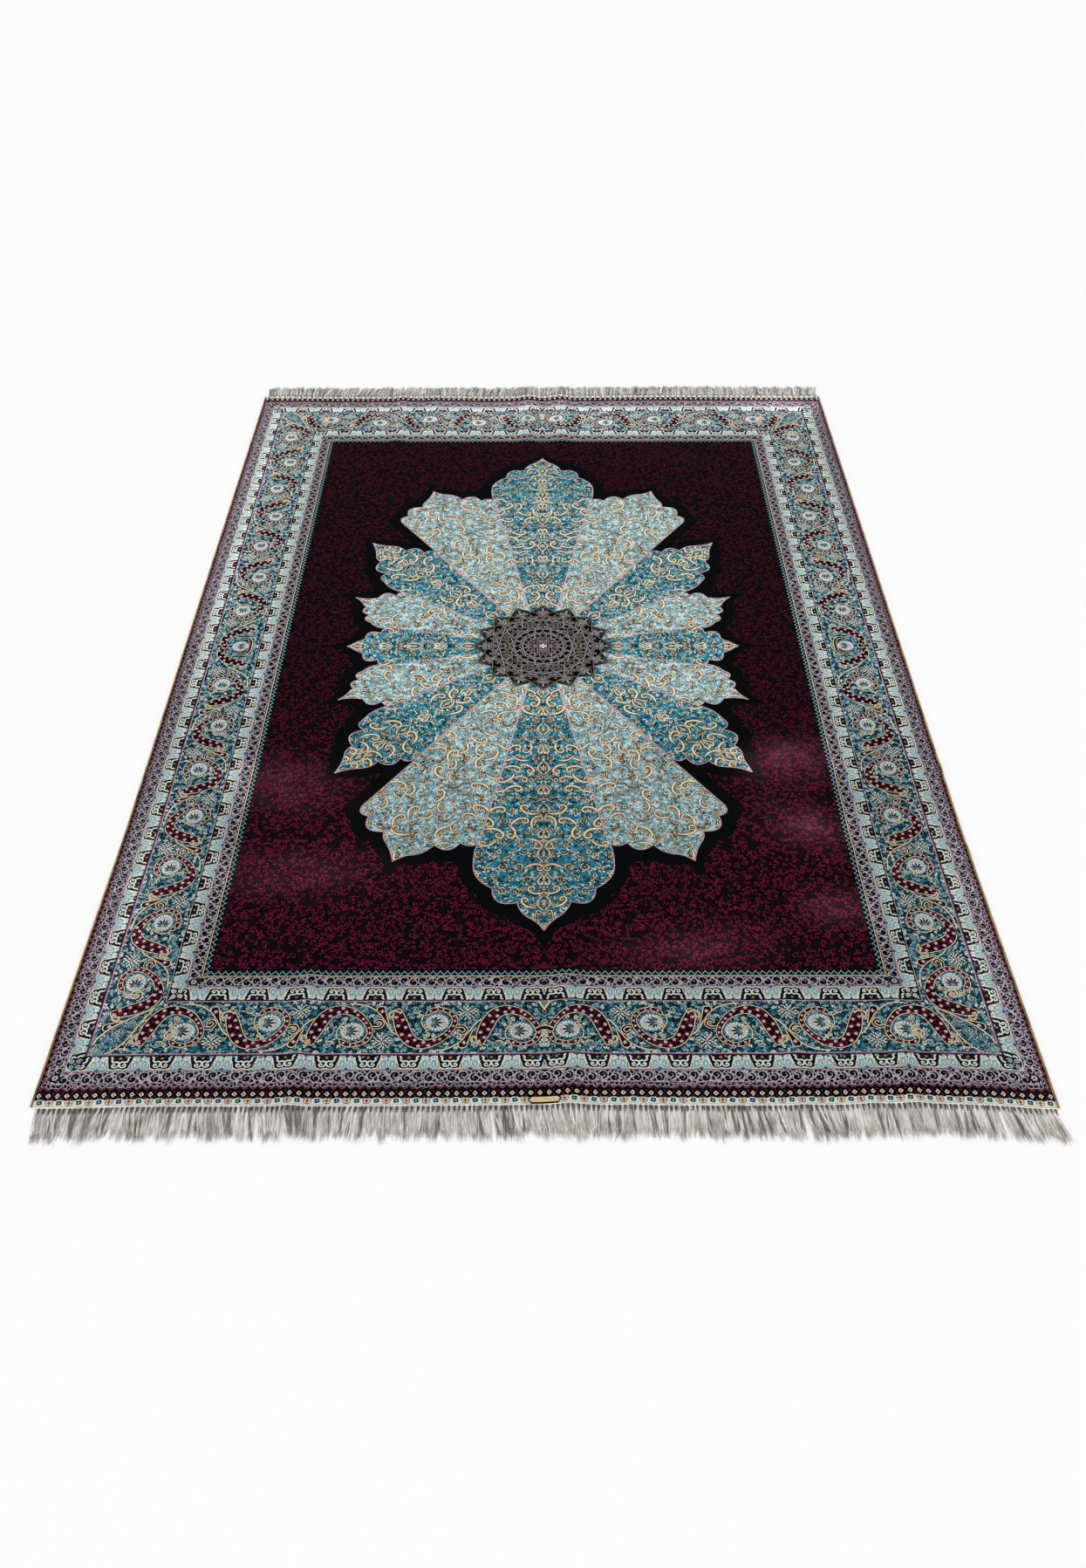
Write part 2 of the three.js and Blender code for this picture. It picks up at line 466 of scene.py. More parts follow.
@dataclass
class Border:
    """A border from a side's middle to its corner. X runs along it, and Y from the rug's edge inwards."""

    side: Side
    length: float
    seed: int
    guard_pitch: float = 75.6
    first_guard: float = 22.0
    first_scroll: float = 44.0
    short_scroll_pitch: float = 158.0
    long_scroll_pitch: float = 157.0
    scroll_offset: float = 10.0
    flower_offset: tuple[float, float] = (-57.0, 34.0)
    wave_pitch: float = 16.0
    wave_height: float = 2.9
    wave_middle: float = 6.6
    tooth_pitch: float = 14.0

    def __post_init__(self) -> None:
        """Lay out the bare border."""
        self.rng = np.random.default_rng(self.seed)
        self.chart = Chart(self.length, BORDER_DEPTH, Dye.INK)

    def fill(self, low: float, high: float, dye: Dye) -> None:
        """Paint a whole band in one silk."""
        self.chart.knots[int(round(low)):int(round(high)), :] = int(dye)

    def draw(self) -> np.ndarray:
        """Paint all the bands.

        Returns:
            The border's knots.
        """
        self.wave_band()
        self.vine_band(*VINE_BAND)
        self.guard_band(*GUARD_BAND, True)
        self.main_band()
        self.vine_band(*INNER_VINE_BAND)
        self.guard_band(*INNER_GUARD_BAND, False)
        self.teeth_band()
        for low, high, dye in BAND_LINES:
            for row in np.arange(math.floor(low), math.ceil(high)):
                if low <= row + 0.5 < high:
                    self.fill(row, row + 1, dye)
        return self.chart.knots

    def wave_band(self) -> None:
        """Paint the outermost wavy lines on black."""
        chart = self.chart
        self.fill(*WAVE_BAND, Dye.INK)
        x = np.arange(-4, self.length + 4, 1.2)
        wave = self.wave_middle + self.wave_height * np.sin(x * TURN / self.wave_pitch)
        chart.stroke(np.column_stack([x, wave + 2.2]), 1.3, Dye.LILAC)
        chart.stroke(np.column_stack([x, wave - 2.2]), 1.1, Dye.ROSE)

    def vine_band(self, low: float, high: float) -> None:
        """Paint a dense black vine on lilac.

        Args:
            low: the band's outer edge.
            high: its inner edge.
        """
        chart = self.chart
        rng = self.rng
        self.fill(low, high, Dye.LILAC)
        deep = high - low
        for x, y in scattered(rng, (0, low), (self.length, high), 7.8, 0.2):
            chart.leaf(x, y, rng.uniform(8, 11), 6.6, rng.uniform(0, TURN), Dye.INK, 1.1, Dye.LILAC)
        pitch = 0.78 * deep
        for k in range(int(self.length / pitch) + 2):
            own = Pose((k + 0.1) * pitch, 0.5 * (low + high), flip=k % 2 == 0)
            curl = spiral(0.33 * deep, 1.05, -1.4, 0.1) + (0, 0.12 * deep)
            chart.stroke(own.place(curl), np.linspace(4, 6, len(curl)), Dye.INK, 1.7, Dye.LILAC)
            root = own.spot(0.3 * deep, -0.4 * deep)
            chart.leaf(*root, 0.6 * deep, 8, own.heading(0.5), Dye.INK, 1.5, Dye.LILAC)

    def guard_places(self) -> list[float]:
        """Work out where the dark blocks of the guard bands stand.

        Returns:
            Their places along the side.
        """
        first = self.first_guard if self.side is Side.SHORT else 0
        count = int(self.length / self.guard_pitch) + 2
        return [first + self.guard_pitch * k for k in range(-1, count)]

    def guard_band(self, low: float, high: float, outer: bool) -> None:
        """Paint a pale guard band: dark blocks that stand on the main border's line, with clouds between.

        Args:
            low: the band's outer edge.
            high: its inner edge.
            outer: whether it lies outside the main border.
        """
        self.fill(low, high, Dye.SKY)
        base = high if outer else low
        for here in self.guard_places():
            self.clouds(Pose(here + 0.5 * self.guard_pitch, base, flip=outer))
        for here in self.guard_places():
            self.block(Pose(here, base, flip=outer))

    def block(self, pose: Pose) -> None:
        """Paint one dark block with pale scrolls and a gold heart, its own Y away from the main border.

        Args:
            pose: where it stands.
        """
        chart = self.chart
        outline = np.array([(-20.5, 0), (20.5, 0), (19.5, 8), (16.5, 19), (15, 27), (8, 30), (0, 27.5),
                            (-8, 30), (-15, 27), (-16.5, 19), (-19.5, 8)], float)
        chart.polygon(pose.place(outline * (1.22, 1.04)), Dye.CREAM)
        chart.polygon(pose.place(outline * (1.16, 1)), Dye.NAVY)
        for hand in (-1, 1):
            arm = ((17, 2), (14, 5), (15, 9), (11, 13.5), (5, 12.5), (0, 15))
            volute = ((0, 16), (3, 23.5), (9, 25), (12.5, 21), (9.5, 17.8), (7.4, 20.4))
            chart.stroke(pose.place(flowing(arm, 4) * (hand, 1)), 3, Dye.ICE)
            chart.stroke(pose.place(flowing(volute, 4) * (hand, 1)), 2.6, Dye.ICE)
        chart.polygon(pose.place([(-3.4, 5), (0, 1.6), (3.4, 5), (0, 8.4)]), Dye.GOLD)

    def clouds(self, pose: Pose) -> None:
        """Paint a pair of tall pale clouds in thin spiral lines.

        Args:
            pose: where the pair stands.
        """
        chart = self.chart
        for hand in (-1, 1):
            cx, cy = pose.spot(hand * 8.2, 18)
            chart.ellipse(cx, cy, 8.8, 13.2, Dye.NAVY)
            chart.ellipse(cx, cy, 7.9, 12.3, Dye.ICE)
            for reach, drop, silk in ((6, 9.4, Dye.AQUA), (4.9, 8.2, Dye.SKY), (3.4, 5.6, Dye.TEAL),
                                      (2.2, 4.2, Dye.ICE), (0.9, 1.4, Dye.GOLD)):
                chart.ellipse(*pose.spot(hand * 8.2, 19.5), reach, drop, silk)
            cx, cy = pose.spot(hand * 8.2, 6.2)
            chart.ellipse(cx, cy, 7.7, 5.9, Dye.NAVY)
            chart.ellipse(cx, cy, 6.9, 5.1, Dye.ICE)
            chart.stroke(spiral(3.9, 1.2, 0.5 * hand, 0.15) * (hand, 1) + (cx, cy), 1.2, Dye.AQUA)
            chart.stroke(pose.place([(hand * 17, 3), (hand * 17.6, 28)]), 1.4, Dye.GOLD)
        chart.ellipse(*pose.spot(0, 11.5), 2.4, 1.8, Dye.GOLD)
        chart.ellipse(*pose.spot(0, 2), 3.4, 2, Dye.DEEP_TEAL)
        chart.ellipse(*pose.spot(0, 30), 4, 1.8, Dye.DEEP_TEAL)

    def teeth_band(self) -> None:
        """Paint the teal zigzag that meets the field."""
        chart = self.chart
        self.fill(*TEETH_BAND, Dye.INK)
        base = TEETH_BAND[0]
        for k in range(int(self.length / self.tooth_pitch) + 2):
            middle = self.tooth_pitch * (k + 0.5)
            valley = self.tooth_pitch * k
            after = middle + 0.5 * self.tooth_pitch
            chart.polygon([(valley - 3, base), (valley + 3, base), (valley, base + 4)], Dye.CRIMSON)
            for rise, width, silk in ((2, 2, Dye.TEAL), (3, 1.1, Dye.SKY)):
                foot = base + rise
                chart.stroke([(valley, foot), (middle, foot + 8.5), (after, foot)], width, silk)

    def scroll_places(self) -> list[tuple[float, int]]:
        """Work out where the scrolls lie.

        Returns:
            Each one's place along the side and the way that its head turns, inwards as 1.
        """
        if self.side is Side.SHORT:
            return [(self.first_scroll + self.short_scroll_pitch * k, 1 if k % 2 else -1) for k in range(5)]
        return [(self.long_scroll_pitch * k, -1 if k % 2 else 1) for k in range(1, 8)]

    def main_band(self) -> None:
        """Paint the main border: its leafy ground, and scrolls that turn in and out in turn."""
        low, high = MAIN_BAND
        middle = 0.5 * (low + high)
        self.leafy_ground(low, high)
        for along, facing in self.scroll_places():
            self.many_petalled(along + self.flower_offset[0], middle + facing * self.flower_offset[1])
        for along, facing in self.scroll_places():
            pose = Pose(along, middle + facing * self.scroll_offset, flip=facing < 0)
            Scroll(self.chart, self.rng, pose).draw()
        if self.side is Side.SHORT:
            self.short_middle(middle)
        else:
            self.long_middle(middle)

    def leafy_ground(self, low: float, high: float) -> None:
        """Strew dark and pale foliage over teal.

        Args:
            low: the ground's outer edge.
            high: its inner edge.
        """
        chart = self.chart
        rng = self.rng
        self.fill(low, high, Dye.DEEP_TEAL)
        silks = (Dye.TEAL, Dye.INK, Dye.AQUA, Dye.NAVY, Dye.NAVY, Dye.SKY, Dye.DEEP_TEAL, Dye.INK, Dye.TEAL)
        chart.strew(rng, scattered(rng, (0, low), (self.length, high), 6.2), silks, (8, 12))
        for x, y in scattered(rng, (0, low + 5), (self.length, high - 5), 14.5, 0.3):
            turn = rng.uniform(0, TURN)
            silk = Dye.SKY if rng.random() < 0.65 else Dye.ICE
            for k in (-1, 0, 1):
                chart.leaf(x, y, 7.4, 3.6, turn + 0.9 * k, silk, 0.9)

    def many_petalled(self, x: float, y: float) -> None:
        """Paint a white flower head with many narrow petals.

        Args:
            x: its middle along the border.
            y: its middle across it.
        """
        chart = self.chart
        for ring, count in ((12, 13), (7, 9), (2.5, 5)):
            for k in range(count):
                angle = TURN * (k + 0.5 * (ring == 7)) / count
                px = x + ring * math.cos(angle)
                py = y + 0.92 * ring * math.sin(angle)
                chart.leaf(px, py, 8, 3.2, angle + 0.4, Dye.ICE, 1.3, Dye.INK)
        chart.ellipse(x, y, 2.4, 2.2, Dye.SLATE)

    def short_middle(self, middle: float) -> None:
        """Paint what joins the two scrolls at a short side's middle.

        Args:
            middle: the main band's middle.
        """
        chart = self.chart
        bar = [(-2, middle - 3), (6, middle - 3.5), (13, middle - 8)]
        chart.stroke(bar, 11, Dye.CREAM, 0.8)
        chart.stroke(bar, 8, Dye.BURGUNDY)
        for top, foot, wide, narrow, silk, rim in ((59, 40, 22, 2, Dye.CREAM, 0.8),
                                                   (60, 45, 16, 1, Dye.TEAL, 0),
                                                   (59, 48, 5, 1, Dye.GOLD, 0)):
            chart.stroke([(0, middle + top), (0, middle + foot)], [wide, narrow], silk, rim)
        for radius, silk in ((4, Dye.GOLD), (2.2, Dye.NAVY)):
            chart.ellipse(0, middle + 36, radius, radius, silk)
        for drop, size in ((14, 4), (22, 6), (32, 7), (42, 5)):
            for across, along, silk in ((size + 1, 5.2, Dye.NAVY), (size, 4, Dye.ICE),
                                        (0.5 * size, 1.8, Dye.SLATE)):
                chart.ellipse(0, middle - drop, across, along, silk)

    def long_middle(self, middle: float) -> None:
        """Paint the arched double scroll at a long side's middle, with its palmette under the arch.

        Args:
            middle: the main band's middle.
        """
        scroll = Scroll(self.chart, self.rng, Pose(0, middle + self.scroll_offset))
        scroll.stem()
        scroll.ribbon(scroll.arch)
        scroll.head_hook()
        scroll.hook(((-4, 27), (14, 27), (30, 20), (35, 8), (31, -5)), 6)
        Scroll(self.chart, self.rng, Pose(0, middle + self.scroll_offset, math.pi / 2)).palmette()
        scroll.curl((45, 29), 9.5, 1.7, 3.6, Dye.SKY)
        scroll.curl((14, 17), 4.5, 1.1, 1, Dye.GOLD)


@dataclass
class Scroll:
    """One burgundy scroll of the main border. Its X runs to the rug's corner, and its head turns to its Y.

    The rows of its body and of the arch are x, y and width.
    """

    chart: Chart
    rng: np.random.Generator
    pose: Pose
    outline: float = 1.4
    dot_step: float = 12.5
    body: tuple = ((22, 18, 1), (15, 26, 9), (6, 31, 8), (-10, 31, 7), (-26, 22, 8), (-33.5, 4, 9),
                   (-27, -16, 9.5), (-11, -36, 12), (10, -48, 16), (31, -50, 20), (49, -40, 23.5),
                   (61, -21, 25.5), (68, -2, 24.5), (73, 14, 20), (75, 26, 13))
    arch: tuple = ((-3, -38, 11), (10, -46, 14), (27, -48, 17), (45, -40, 21), (59, -22, 24),
                   (67, -2, 23), (72, 14, 19), (74, 25, 12))

    def draw(self) -> None:
        """Paint the stem, the ribbon, the palmette, the curls and the bud."""
        chart = self.chart
        self.stem()
        self.bud()
        self.hook(((-27, -14), (-38, -9), (-50, -9), (-56, -18), (-50, -26), (-42, -22)), 4)
        self.ribbon(self.body)
        self.head_hook()
        self.palmette()
        self.curl((43.5, 30), 11.5, 0.55, 3.3, Dye.CREAM)
        self.curl((43, 30), 8, 1.4, 0.6, Dye.SKY)
        lip = flowing([(20, 19), (27, 16), (33, 20)], 4)
        chart.stroke(self.pose.place(lip), 2, Dye.CREAM, 0.8)
        inner = flowing([(27, 17), (29.5, 4), (26, -8), (20, -16), (18, -24)], 5)
        chart.stroke(self.pose.place(inner), 1.8, Dye.CREAM, 0.9)
        self.curl((18.5, -9), 5.6, 1.1, 0.2, Dye.CREAM)
        self.curl((17, -29), 5.4, 1, 1.6, Dye.CREAM)

    def stem(self) -> None:
        """Paint the cream stem that runs on to the next scroll."""
        line = flowing([(58, -40), (82, -22), (97, 0), (110, 20), (124, 34), (142, 42.5), (168, 46)])
        self.chart.stroke(self.pose.place(line), 2.2, Dye.CREAM, 0.9)

    def bud(self) -> None:
        """Paint the bell-shaped bud beside the stem."""
        line = flowing([(92, -2), (99, 12), (104, 24), (108, 31)], 4)
        swell = np.linspace(2, 15, len(line))
        self.chart.stroke(self.pose.place(line), swell + 2 * self.outline, Dye.CREAM, 0.9)
        self.chart.stroke(self.pose.place(line), swell, Dye.BURGUNDY)
        self.chart.flower(*self.pose.spot(105.5, 27), 4.2, 4, Dye.BLUSH, Dye.ICE)

    def ribbon(self, rows: tuple) -> None:
        """Paint a burgundy ribbon with its cream outline, its fleck and its flowers.

        Args:
            rows: x, y and width along its middle.
        """
        chart = self.chart
        rng = self.rng
        shape = flowing(rows)
        path = self.pose.place(shape[:, :2])
        width = shape[:, 2]
        chart.stroke(path, width + 2 * self.outline, Dye.CREAM, 1.4)
        chart.stroke(path, width, Dye.BURGUNDY)
        reach = np.concatenate([[0], np.cumsum(np.hypot(*np.diff(path, axis=0).T))])
        ahead = np.gradient(path, axis=0)
        ahead /= np.maximum(np.hypot(ahead[:, 0], ahead[:, 1]), 1e-9)[:, None]
        aside = np.column_stack([-ahead[:, 1], ahead[:, 0]])
        for at in np.arange(3, reach[-1], 1.5):
            i = min(int(np.searchsorted(reach, at)), len(path) - 1)
            if width[i] > 5.5:
                x, y = path[i] + aside[i] * rng.uniform(-0.34, 0.34) * width[i]
                silk = Dye.CRIMSON if rng.random() < 0.56 else Dye.INK
                size = min(5.5, 0.5 * width[i])
                chart.comma(x, y, rng.uniform(0, TURN), size, silk, rng.choice((-1, 1)))
        hand = 1
        at = 12
        while at < reach[-1] - 2:
            i = min(int(np.searchsorted(reach, at)), len(path) - 1)
            wide = width[i] > 14
            if width[i] > 6:
                x, y = path[i] + aside[i] * hand * (0.25 * width[i] if wide else 0)
                size = min(3.7, 0.15 * width[i] + 1.3)
                chart.flower(x, y, size, 5, Dye.BLUSH, Dye.BLUSH, None, rng.uniform(0, 1.2))
            hand = -hand
            at += 0.8 * self.dot_step if wide else self.dot_step

    def hook(self, points: tuple, width: float) -> None:
        """Paint a cream-lined burgundy hook.

        Args:
            points: x and y along its middle.
            width: the burgundy's width.
        """
        line = self.pose.place(flowing(points))
        self.chart.stroke(line, width + 2 * self.outline, Dye.CREAM, 0.9)
        self.chart.stroke(line, width, Dye.BURGUNDY)

    def head_hook(self) -> None:
        """Paint the small hook at the ribbon's head."""
        self.hook(((76, 27), (84, 27.5), (92, 22), (91, 14), (85, 13), (84, 18)), 1.2)

    def curl(self, at: tuple[float, float], radius: float, turns: float, start: float, dye: Dye) -> None:
        """Paint a thin spiral with a dark outline.

        Args:
            at: the spiral's middle.
            radius: its radius.
            turns: how many times it goes round.
            start: the angle at its rim, in radians.
            dye: its silk.
        """
        self.chart.stroke(self.pose.place(spiral(radius, turns, start) + at), 1.8, dye, 0.8)

    def palmette(self) -> None:
        """Paint the pale round flower in the scroll, with its fan of dark leaves."""
        chart = self.chart
        cx, cy = self.pose.spot(0, 0)
        chart.ellipse(cx, cy, 25, 22, Dye.TEAL)
        for k in range(30):
            angle = TURN * k / 30 + 0.08 * (k % 3)
            rim = self.pose.spot(21.5 * math.cos(angle), 18.8 * math.sin(angle))
            chart.comma(*rim, self.pose.turn + angle + 1.2, 6, (Dye.NAVY, Dye.SKY, Dye.DEEP_TEAL)[k % 3])
        chart.ellipse(cx, cy, 22, 19.6, Dye.SLATE)
        for count, reach, silk in ((20, 19, Dye.ICE), (16, 14.6, Dye.BLUSH), (12, 10.2, Dye.ICE),
                                   (8, 5.6, Dye.BLUSH)):
            for k in range(count):
                angle = TURN * (k + 0.35 * (count % 8 == 4)) / count
                spot = self.pose.spot(reach * math.cos(angle), 0.89 * reach * math.sin(angle))
                chart.ellipse(*spot, 3, 2.2, silk, self.pose.heading(angle))
        root_x = 8
        root = self.pose.spot(root_x, 0)
        for lean, length in ((1.5, 11), (4.8, 11), (2.05, 16), (4.25, 16), (2.6, 19), (3.7, 19),
                             (3.14, 22)):
            tip = self.pose.spot(root_x + length * math.cos(lean), length * math.sin(lean))
            heading = math.atan2(tip[1] - root[1], tip[0] - root[0])
            chart.leaf(root[0], root[1], length, 4.8, heading, Dye.NAVY, 0.8, Dye.SKY)


@dataclass
class EndRows:
    """The rosette and diamond rows that only the short ends have. Y runs from the rug's edge inwards."""

    length: float = float(HALF_COLUMNS)
    rosette_pitch: float = 35.3
    rosette_row: float = 12.6
    pale_rows: int = 18
    diamond_pitch: float = 16.6
    diamond_row: float = 27.5

    def diamond(self, chart: Chart, x: float, y: float, half_x: float, half_y: float, silk: Dye) -> None:
        """Paint a diamond."""
        chart.polygon([(x - half_x, y), (x, y - half_y), (x + half_x, y), (x, y + half_y)], silk)

    def draw(self) -> np.ndarray:
        """Paint both rows.

        Returns:
            Their knots.
        """
        chart = Chart(self.length, END_ROWS_DEPTH, Dye.INK)
        for k in range(int(self.length / self.diamond_pitch) + 2):
            x = self.diamond_pitch * (k + 0.5)
            for share, silk in ((1, Dye.CREAM), (0.7, Dye.BLUSH), (0.5, Dye.SLATE), (0.22, Dye.INK)):
                self.diamond(chart, x, self.diamond_row, 4.5 * share, 5.4 * share, silk)
            for y in (22, 33):
                self.diamond(chart, x + 0.5 * self.diamond_pitch, y, 1.9, 2.3, Dye.CRIMSON)
        chart.knots[:self.pale_rows, :] = int(Dye.CREAM)
        chart.knots[HEADING_ROWS:self.pale_rows:2, :] = int(Dye.ICE)
        scallop = 0.5 * self.rosette_pitch
        for k in range(int(self.length / scallop) + 2):
            chart.ellipse(scallop * k, 14, 0.52 * scallop, 5.2, Dye.ICE)
            chart.ellipse(scallop * (k + 0.5), 19, 3, 2.2, Dye.INK)
        for k in range(int(self.length / self.rosette_pitch) + 2):
            x = self.rosette_pitch * k
            y = self.rosette_row
            chart.ellipse(x, y, 7.6, 6.6, Dye.TEAL)
            chart.ellipse(x, y, 5.6, 4.9, Dye.CREAM)
            chart.flower(x, y, 4.2, 4, Dye.RUST, Dye.BURGUNDY)
            chart.ellipse(x, y, 2.2, 2, Dye.RUST)
            between = x + 0.5 * self.rosette_pitch
            chart.ellipse(between, y, 5.2, 4.4, Dye.TEAL)
            chart.flower(between, y, 5.6, 4, Dye.NAVY, Dye.SKY, None, 0.6)
        return chart.knots


@dataclass
class Corner:
    """What turns the borders round a corner of the quarter: a long leaf, foliage and small roundels."""

    chart: Chart
    rng: np.random.Generator
    frame: tuple[float, float] = (840.0, 1268.0)
    outer_side: tuple = ((742, 1160), (752, 1180), (761, 1196), (768, 1213), (777, 1234),
                         (791, 1253), (810, 1267))
    inner_side: tuple = ((742, 1160), (756, 1169), (771, 1178), (788, 1190), (803, 1200),
                         (816, 1211), (827, 1224), (834, 1234), (838.5, 1246))

    def draw(self) -> None:
        """Paint the corner's own motifs."""
        chart = self.chart
        sides = [flowing(self.outer_side, 3), flowing(self.inner_side, 3)]
        leaf = np.vstack([sides[0], [self.frame], sides[1][::-1]])
        chart.polygon(leaf, Dye.SKY)
        low, high = leaf.min(axis=0), leaf.max(axis=0)
        for x, y in scattered(self.rng, tuple(low), tuple(high - 4), 4.6):
            deep = (x + y - low.sum()) / (high - low).sum()
            silks = (Dye.NAVY, Dye.TEAL, Dye.DEEP_TEAL, Dye.AQUA, Dye.SKY, Dye.ICE, Dye.AQUA, Dye.ICE)
            silk = silks[int(self.rng.integers(0, 5) + round(3 * deep))]
            if self.within(leaf, x, y):
                chart.comma(x, y, self.rng.uniform(0, TURN), 6.5, silk, self.rng.choice((-1, 1)), 1)
        for side in sides:
            chart.stroke(side, 2.2, Dye.CREAM, 1.1)
        chart.flower(799, 1218, 5, 6, Dye.LILAC, Dye.NAVY, Dye.NAVY)
        for x, y, radius in ((700, 1226, 15), (785, 1130, 15)):
            curl = spiral(radius, 1.7, 2.2, 0.12) + (x, y)
            chart.stroke(curl, 2.2, Dye.CREAM, 0.9)
            chart.flower(x, y, 5, 5, Dye.BLUSH, Dye.GOLD, Dye.NAVY)
        for depth_x, depth_y, silk in ((56, 59, Dye.SKY), (208, 222, Dye.ICE)):
            x = HALF_WIDTH - depth_x
            y = HALF_WOVEN - END_ROWS_DEPTH - depth_y
            chart.ellipse(x, y, 14, 14, Dye.NAVY)
            for k in range(4):
                curl = Pose(x, y, 0.25 * TURN * k).place(spiral(5.4, 1.3, 0.5, 0.15) + (6.2, 6.2))
                chart.stroke(curl, 2, silk)
            chart.ellipse(x, y, 2.2, 2.2, Dye.GOLD)
        for depth_x, depth_y in ((28, 66), (235, 288)):
            x = HALF_WIDTH - depth_x
            y = HALF_WOVEN - depth_y
            chart.ellipse(x, y, 9.5, 9.5, Dye.INK)
            chart.flower(x, y, 6, 6, Dye.LILAC, Dye.INK)

    def within(self, outline: np.ndarray, x: float, y: float) -> bool:
        """Tell whether a place lies inside an outline.

        Args:
            outline: rows of x and y.
            x: the place.
            y: the place.

        Returns:
            Whether it does.
        """
        ends = np.roll(outline, -1, axis=0)
        spans = (outline[:, 1] > y) != (ends[:, 1] > y)
        rise = ends[spans, 1] - outline[spans, 1]
        cross = outline[spans, 0] + (y - outline[spans, 1]) / rise * (ends[spans, 0] - outline[spans, 0])
        return bool(np.count_nonzero(cross > x) % 2)


@dataclass
class Field:
    """The dark field with its dense crimson curls."""

    chart: Chart
    rng: np.random.Generator
    half_width: float = 654.0
    half_length: float = 1069.0
    spacing: float = 12.8

    def draw(self) -> None:
        """Paint the curls on their dark ground."""
        chart = self.chart
        rng = self.rng
        low = (0, 0)
        high = (self.half_width, self.half_length)
        chart.knots[:int(self.half_length), :int(self.half_width)] = int(Dye.INK)
        for x, y in scattered(rng, low, high, 8.2):
            turn = rng.uniform(0, TURN)
            chart.comma(x, y, turn, rng.uniform(4.5, 7.5), Dye.BURGUNDY, rng.choice((-1, 1)))
        for x, y in scattered(rng, low, high, self.spacing, 0.3):
            turn = rng.uniform(0, TURN)
            size = rng.uniform(3.6, 5.4)
            hand = rng.choice((-1, 1))
            silk = Dye.CRIMSON if rng.random() < 0.78 else Dye.BURGUNDY
            hook = spiral(size, rng.uniform(0.5, 0.9), 0, 0.35) * (1, hand)
            own = Pose(x, y, turn)
            line = own.place(np.vstack([[(size * 1.2, -hand * size * 1.4)], hook]))
            chart.stroke(line, np.linspace(1.1, 1.7, len(line)), silk)
            if rng.random() < 0.35:
                chart.comma(*own.spot(1.3 * size, 0), turn + 0.7 * hand, size, silk, hand)
        for x, y in scattered(rng, low, high, 36, 0.4):
            chart.ellipse(x, y, 1.4, 1.1, Dye.NAVY)


@dataclass(frozen=True)
class Petal:
    """One petal of the medallion: the way its middle points, in degrees, its ground and its outline.

    The outline's rows are x and y from the rug's middle and the bulge of the arc that follows.
    """

    turn: float
    dark: bool
    outline: tuple


PETALS = (
    Petal(90, True, (
        (0, 120, 0), (30, 120, 0), (137, 700, -0.05), (150, 770, -0.16), (108, 847, -0.33),
        (55, 888, -0.10), (31, 930, 0.08), (0, 966, 0))),
    Petal(67.5, False, (
        (28, 120, 0), (137, 702, 0.36), (181, 713, 0.36), (237, 720, 0.14), (290, 750, -0.06),
        (323, 768, -0.04), (341, 712, 0.10), (349, 677, 0.36), (387, 628, 0.30), (404, 594, 0),
        (300, 444, 0), (66, 100, 0))),
    Petal(45, True, (
        (66, 100, 0), (300, 438, 0.28), (331, 432, 0.36), (383, 444, 0.14), (425, 469, -0.05),
        (478, 485, -0.05), (462, 414, 0.08), (447, 390, 0.36), (425, 332, 0.30), (430, 292, 0.12),
        (363, 238, 0), (100, 66, 0))),
    Petal(22.5, False, (
        (100, 66, 0), (363, 238, 0.28), (392, 224, 0.36), (439, 215, -0.08), (500, 218, -0.05),
        (477, 190, 0.06), (467, 174, 0.36), (455, 139, 0.36), (450, 104, 0.18), (392, 80, 0),
        (120, 25, 0))),
    Petal(0, True, (
        (120, 25, 0), (390, 80, 0.30), (417, 56, 0.40), (457, 32, -0.05), (478, 18, -0.06), (501, 0, 0),
        (120, 0, 0))),
)


DARK_GROUND = (Dye.NAVY, Dye.ICE, Dye.AQUA, Dye.TEAL, Dye.DEEP_TEAL, Dye.NAVY, Dye.SKY, Dye.TEAL)
PALE_GROUND = (Dye.ICE, Dye.AQUA, Dye.ICE, Dye.SLATE, Dye.DEEP_TEAL, Dye.ICE, Dye.SLATE, Dye.AQUA, Dye.TEAL)


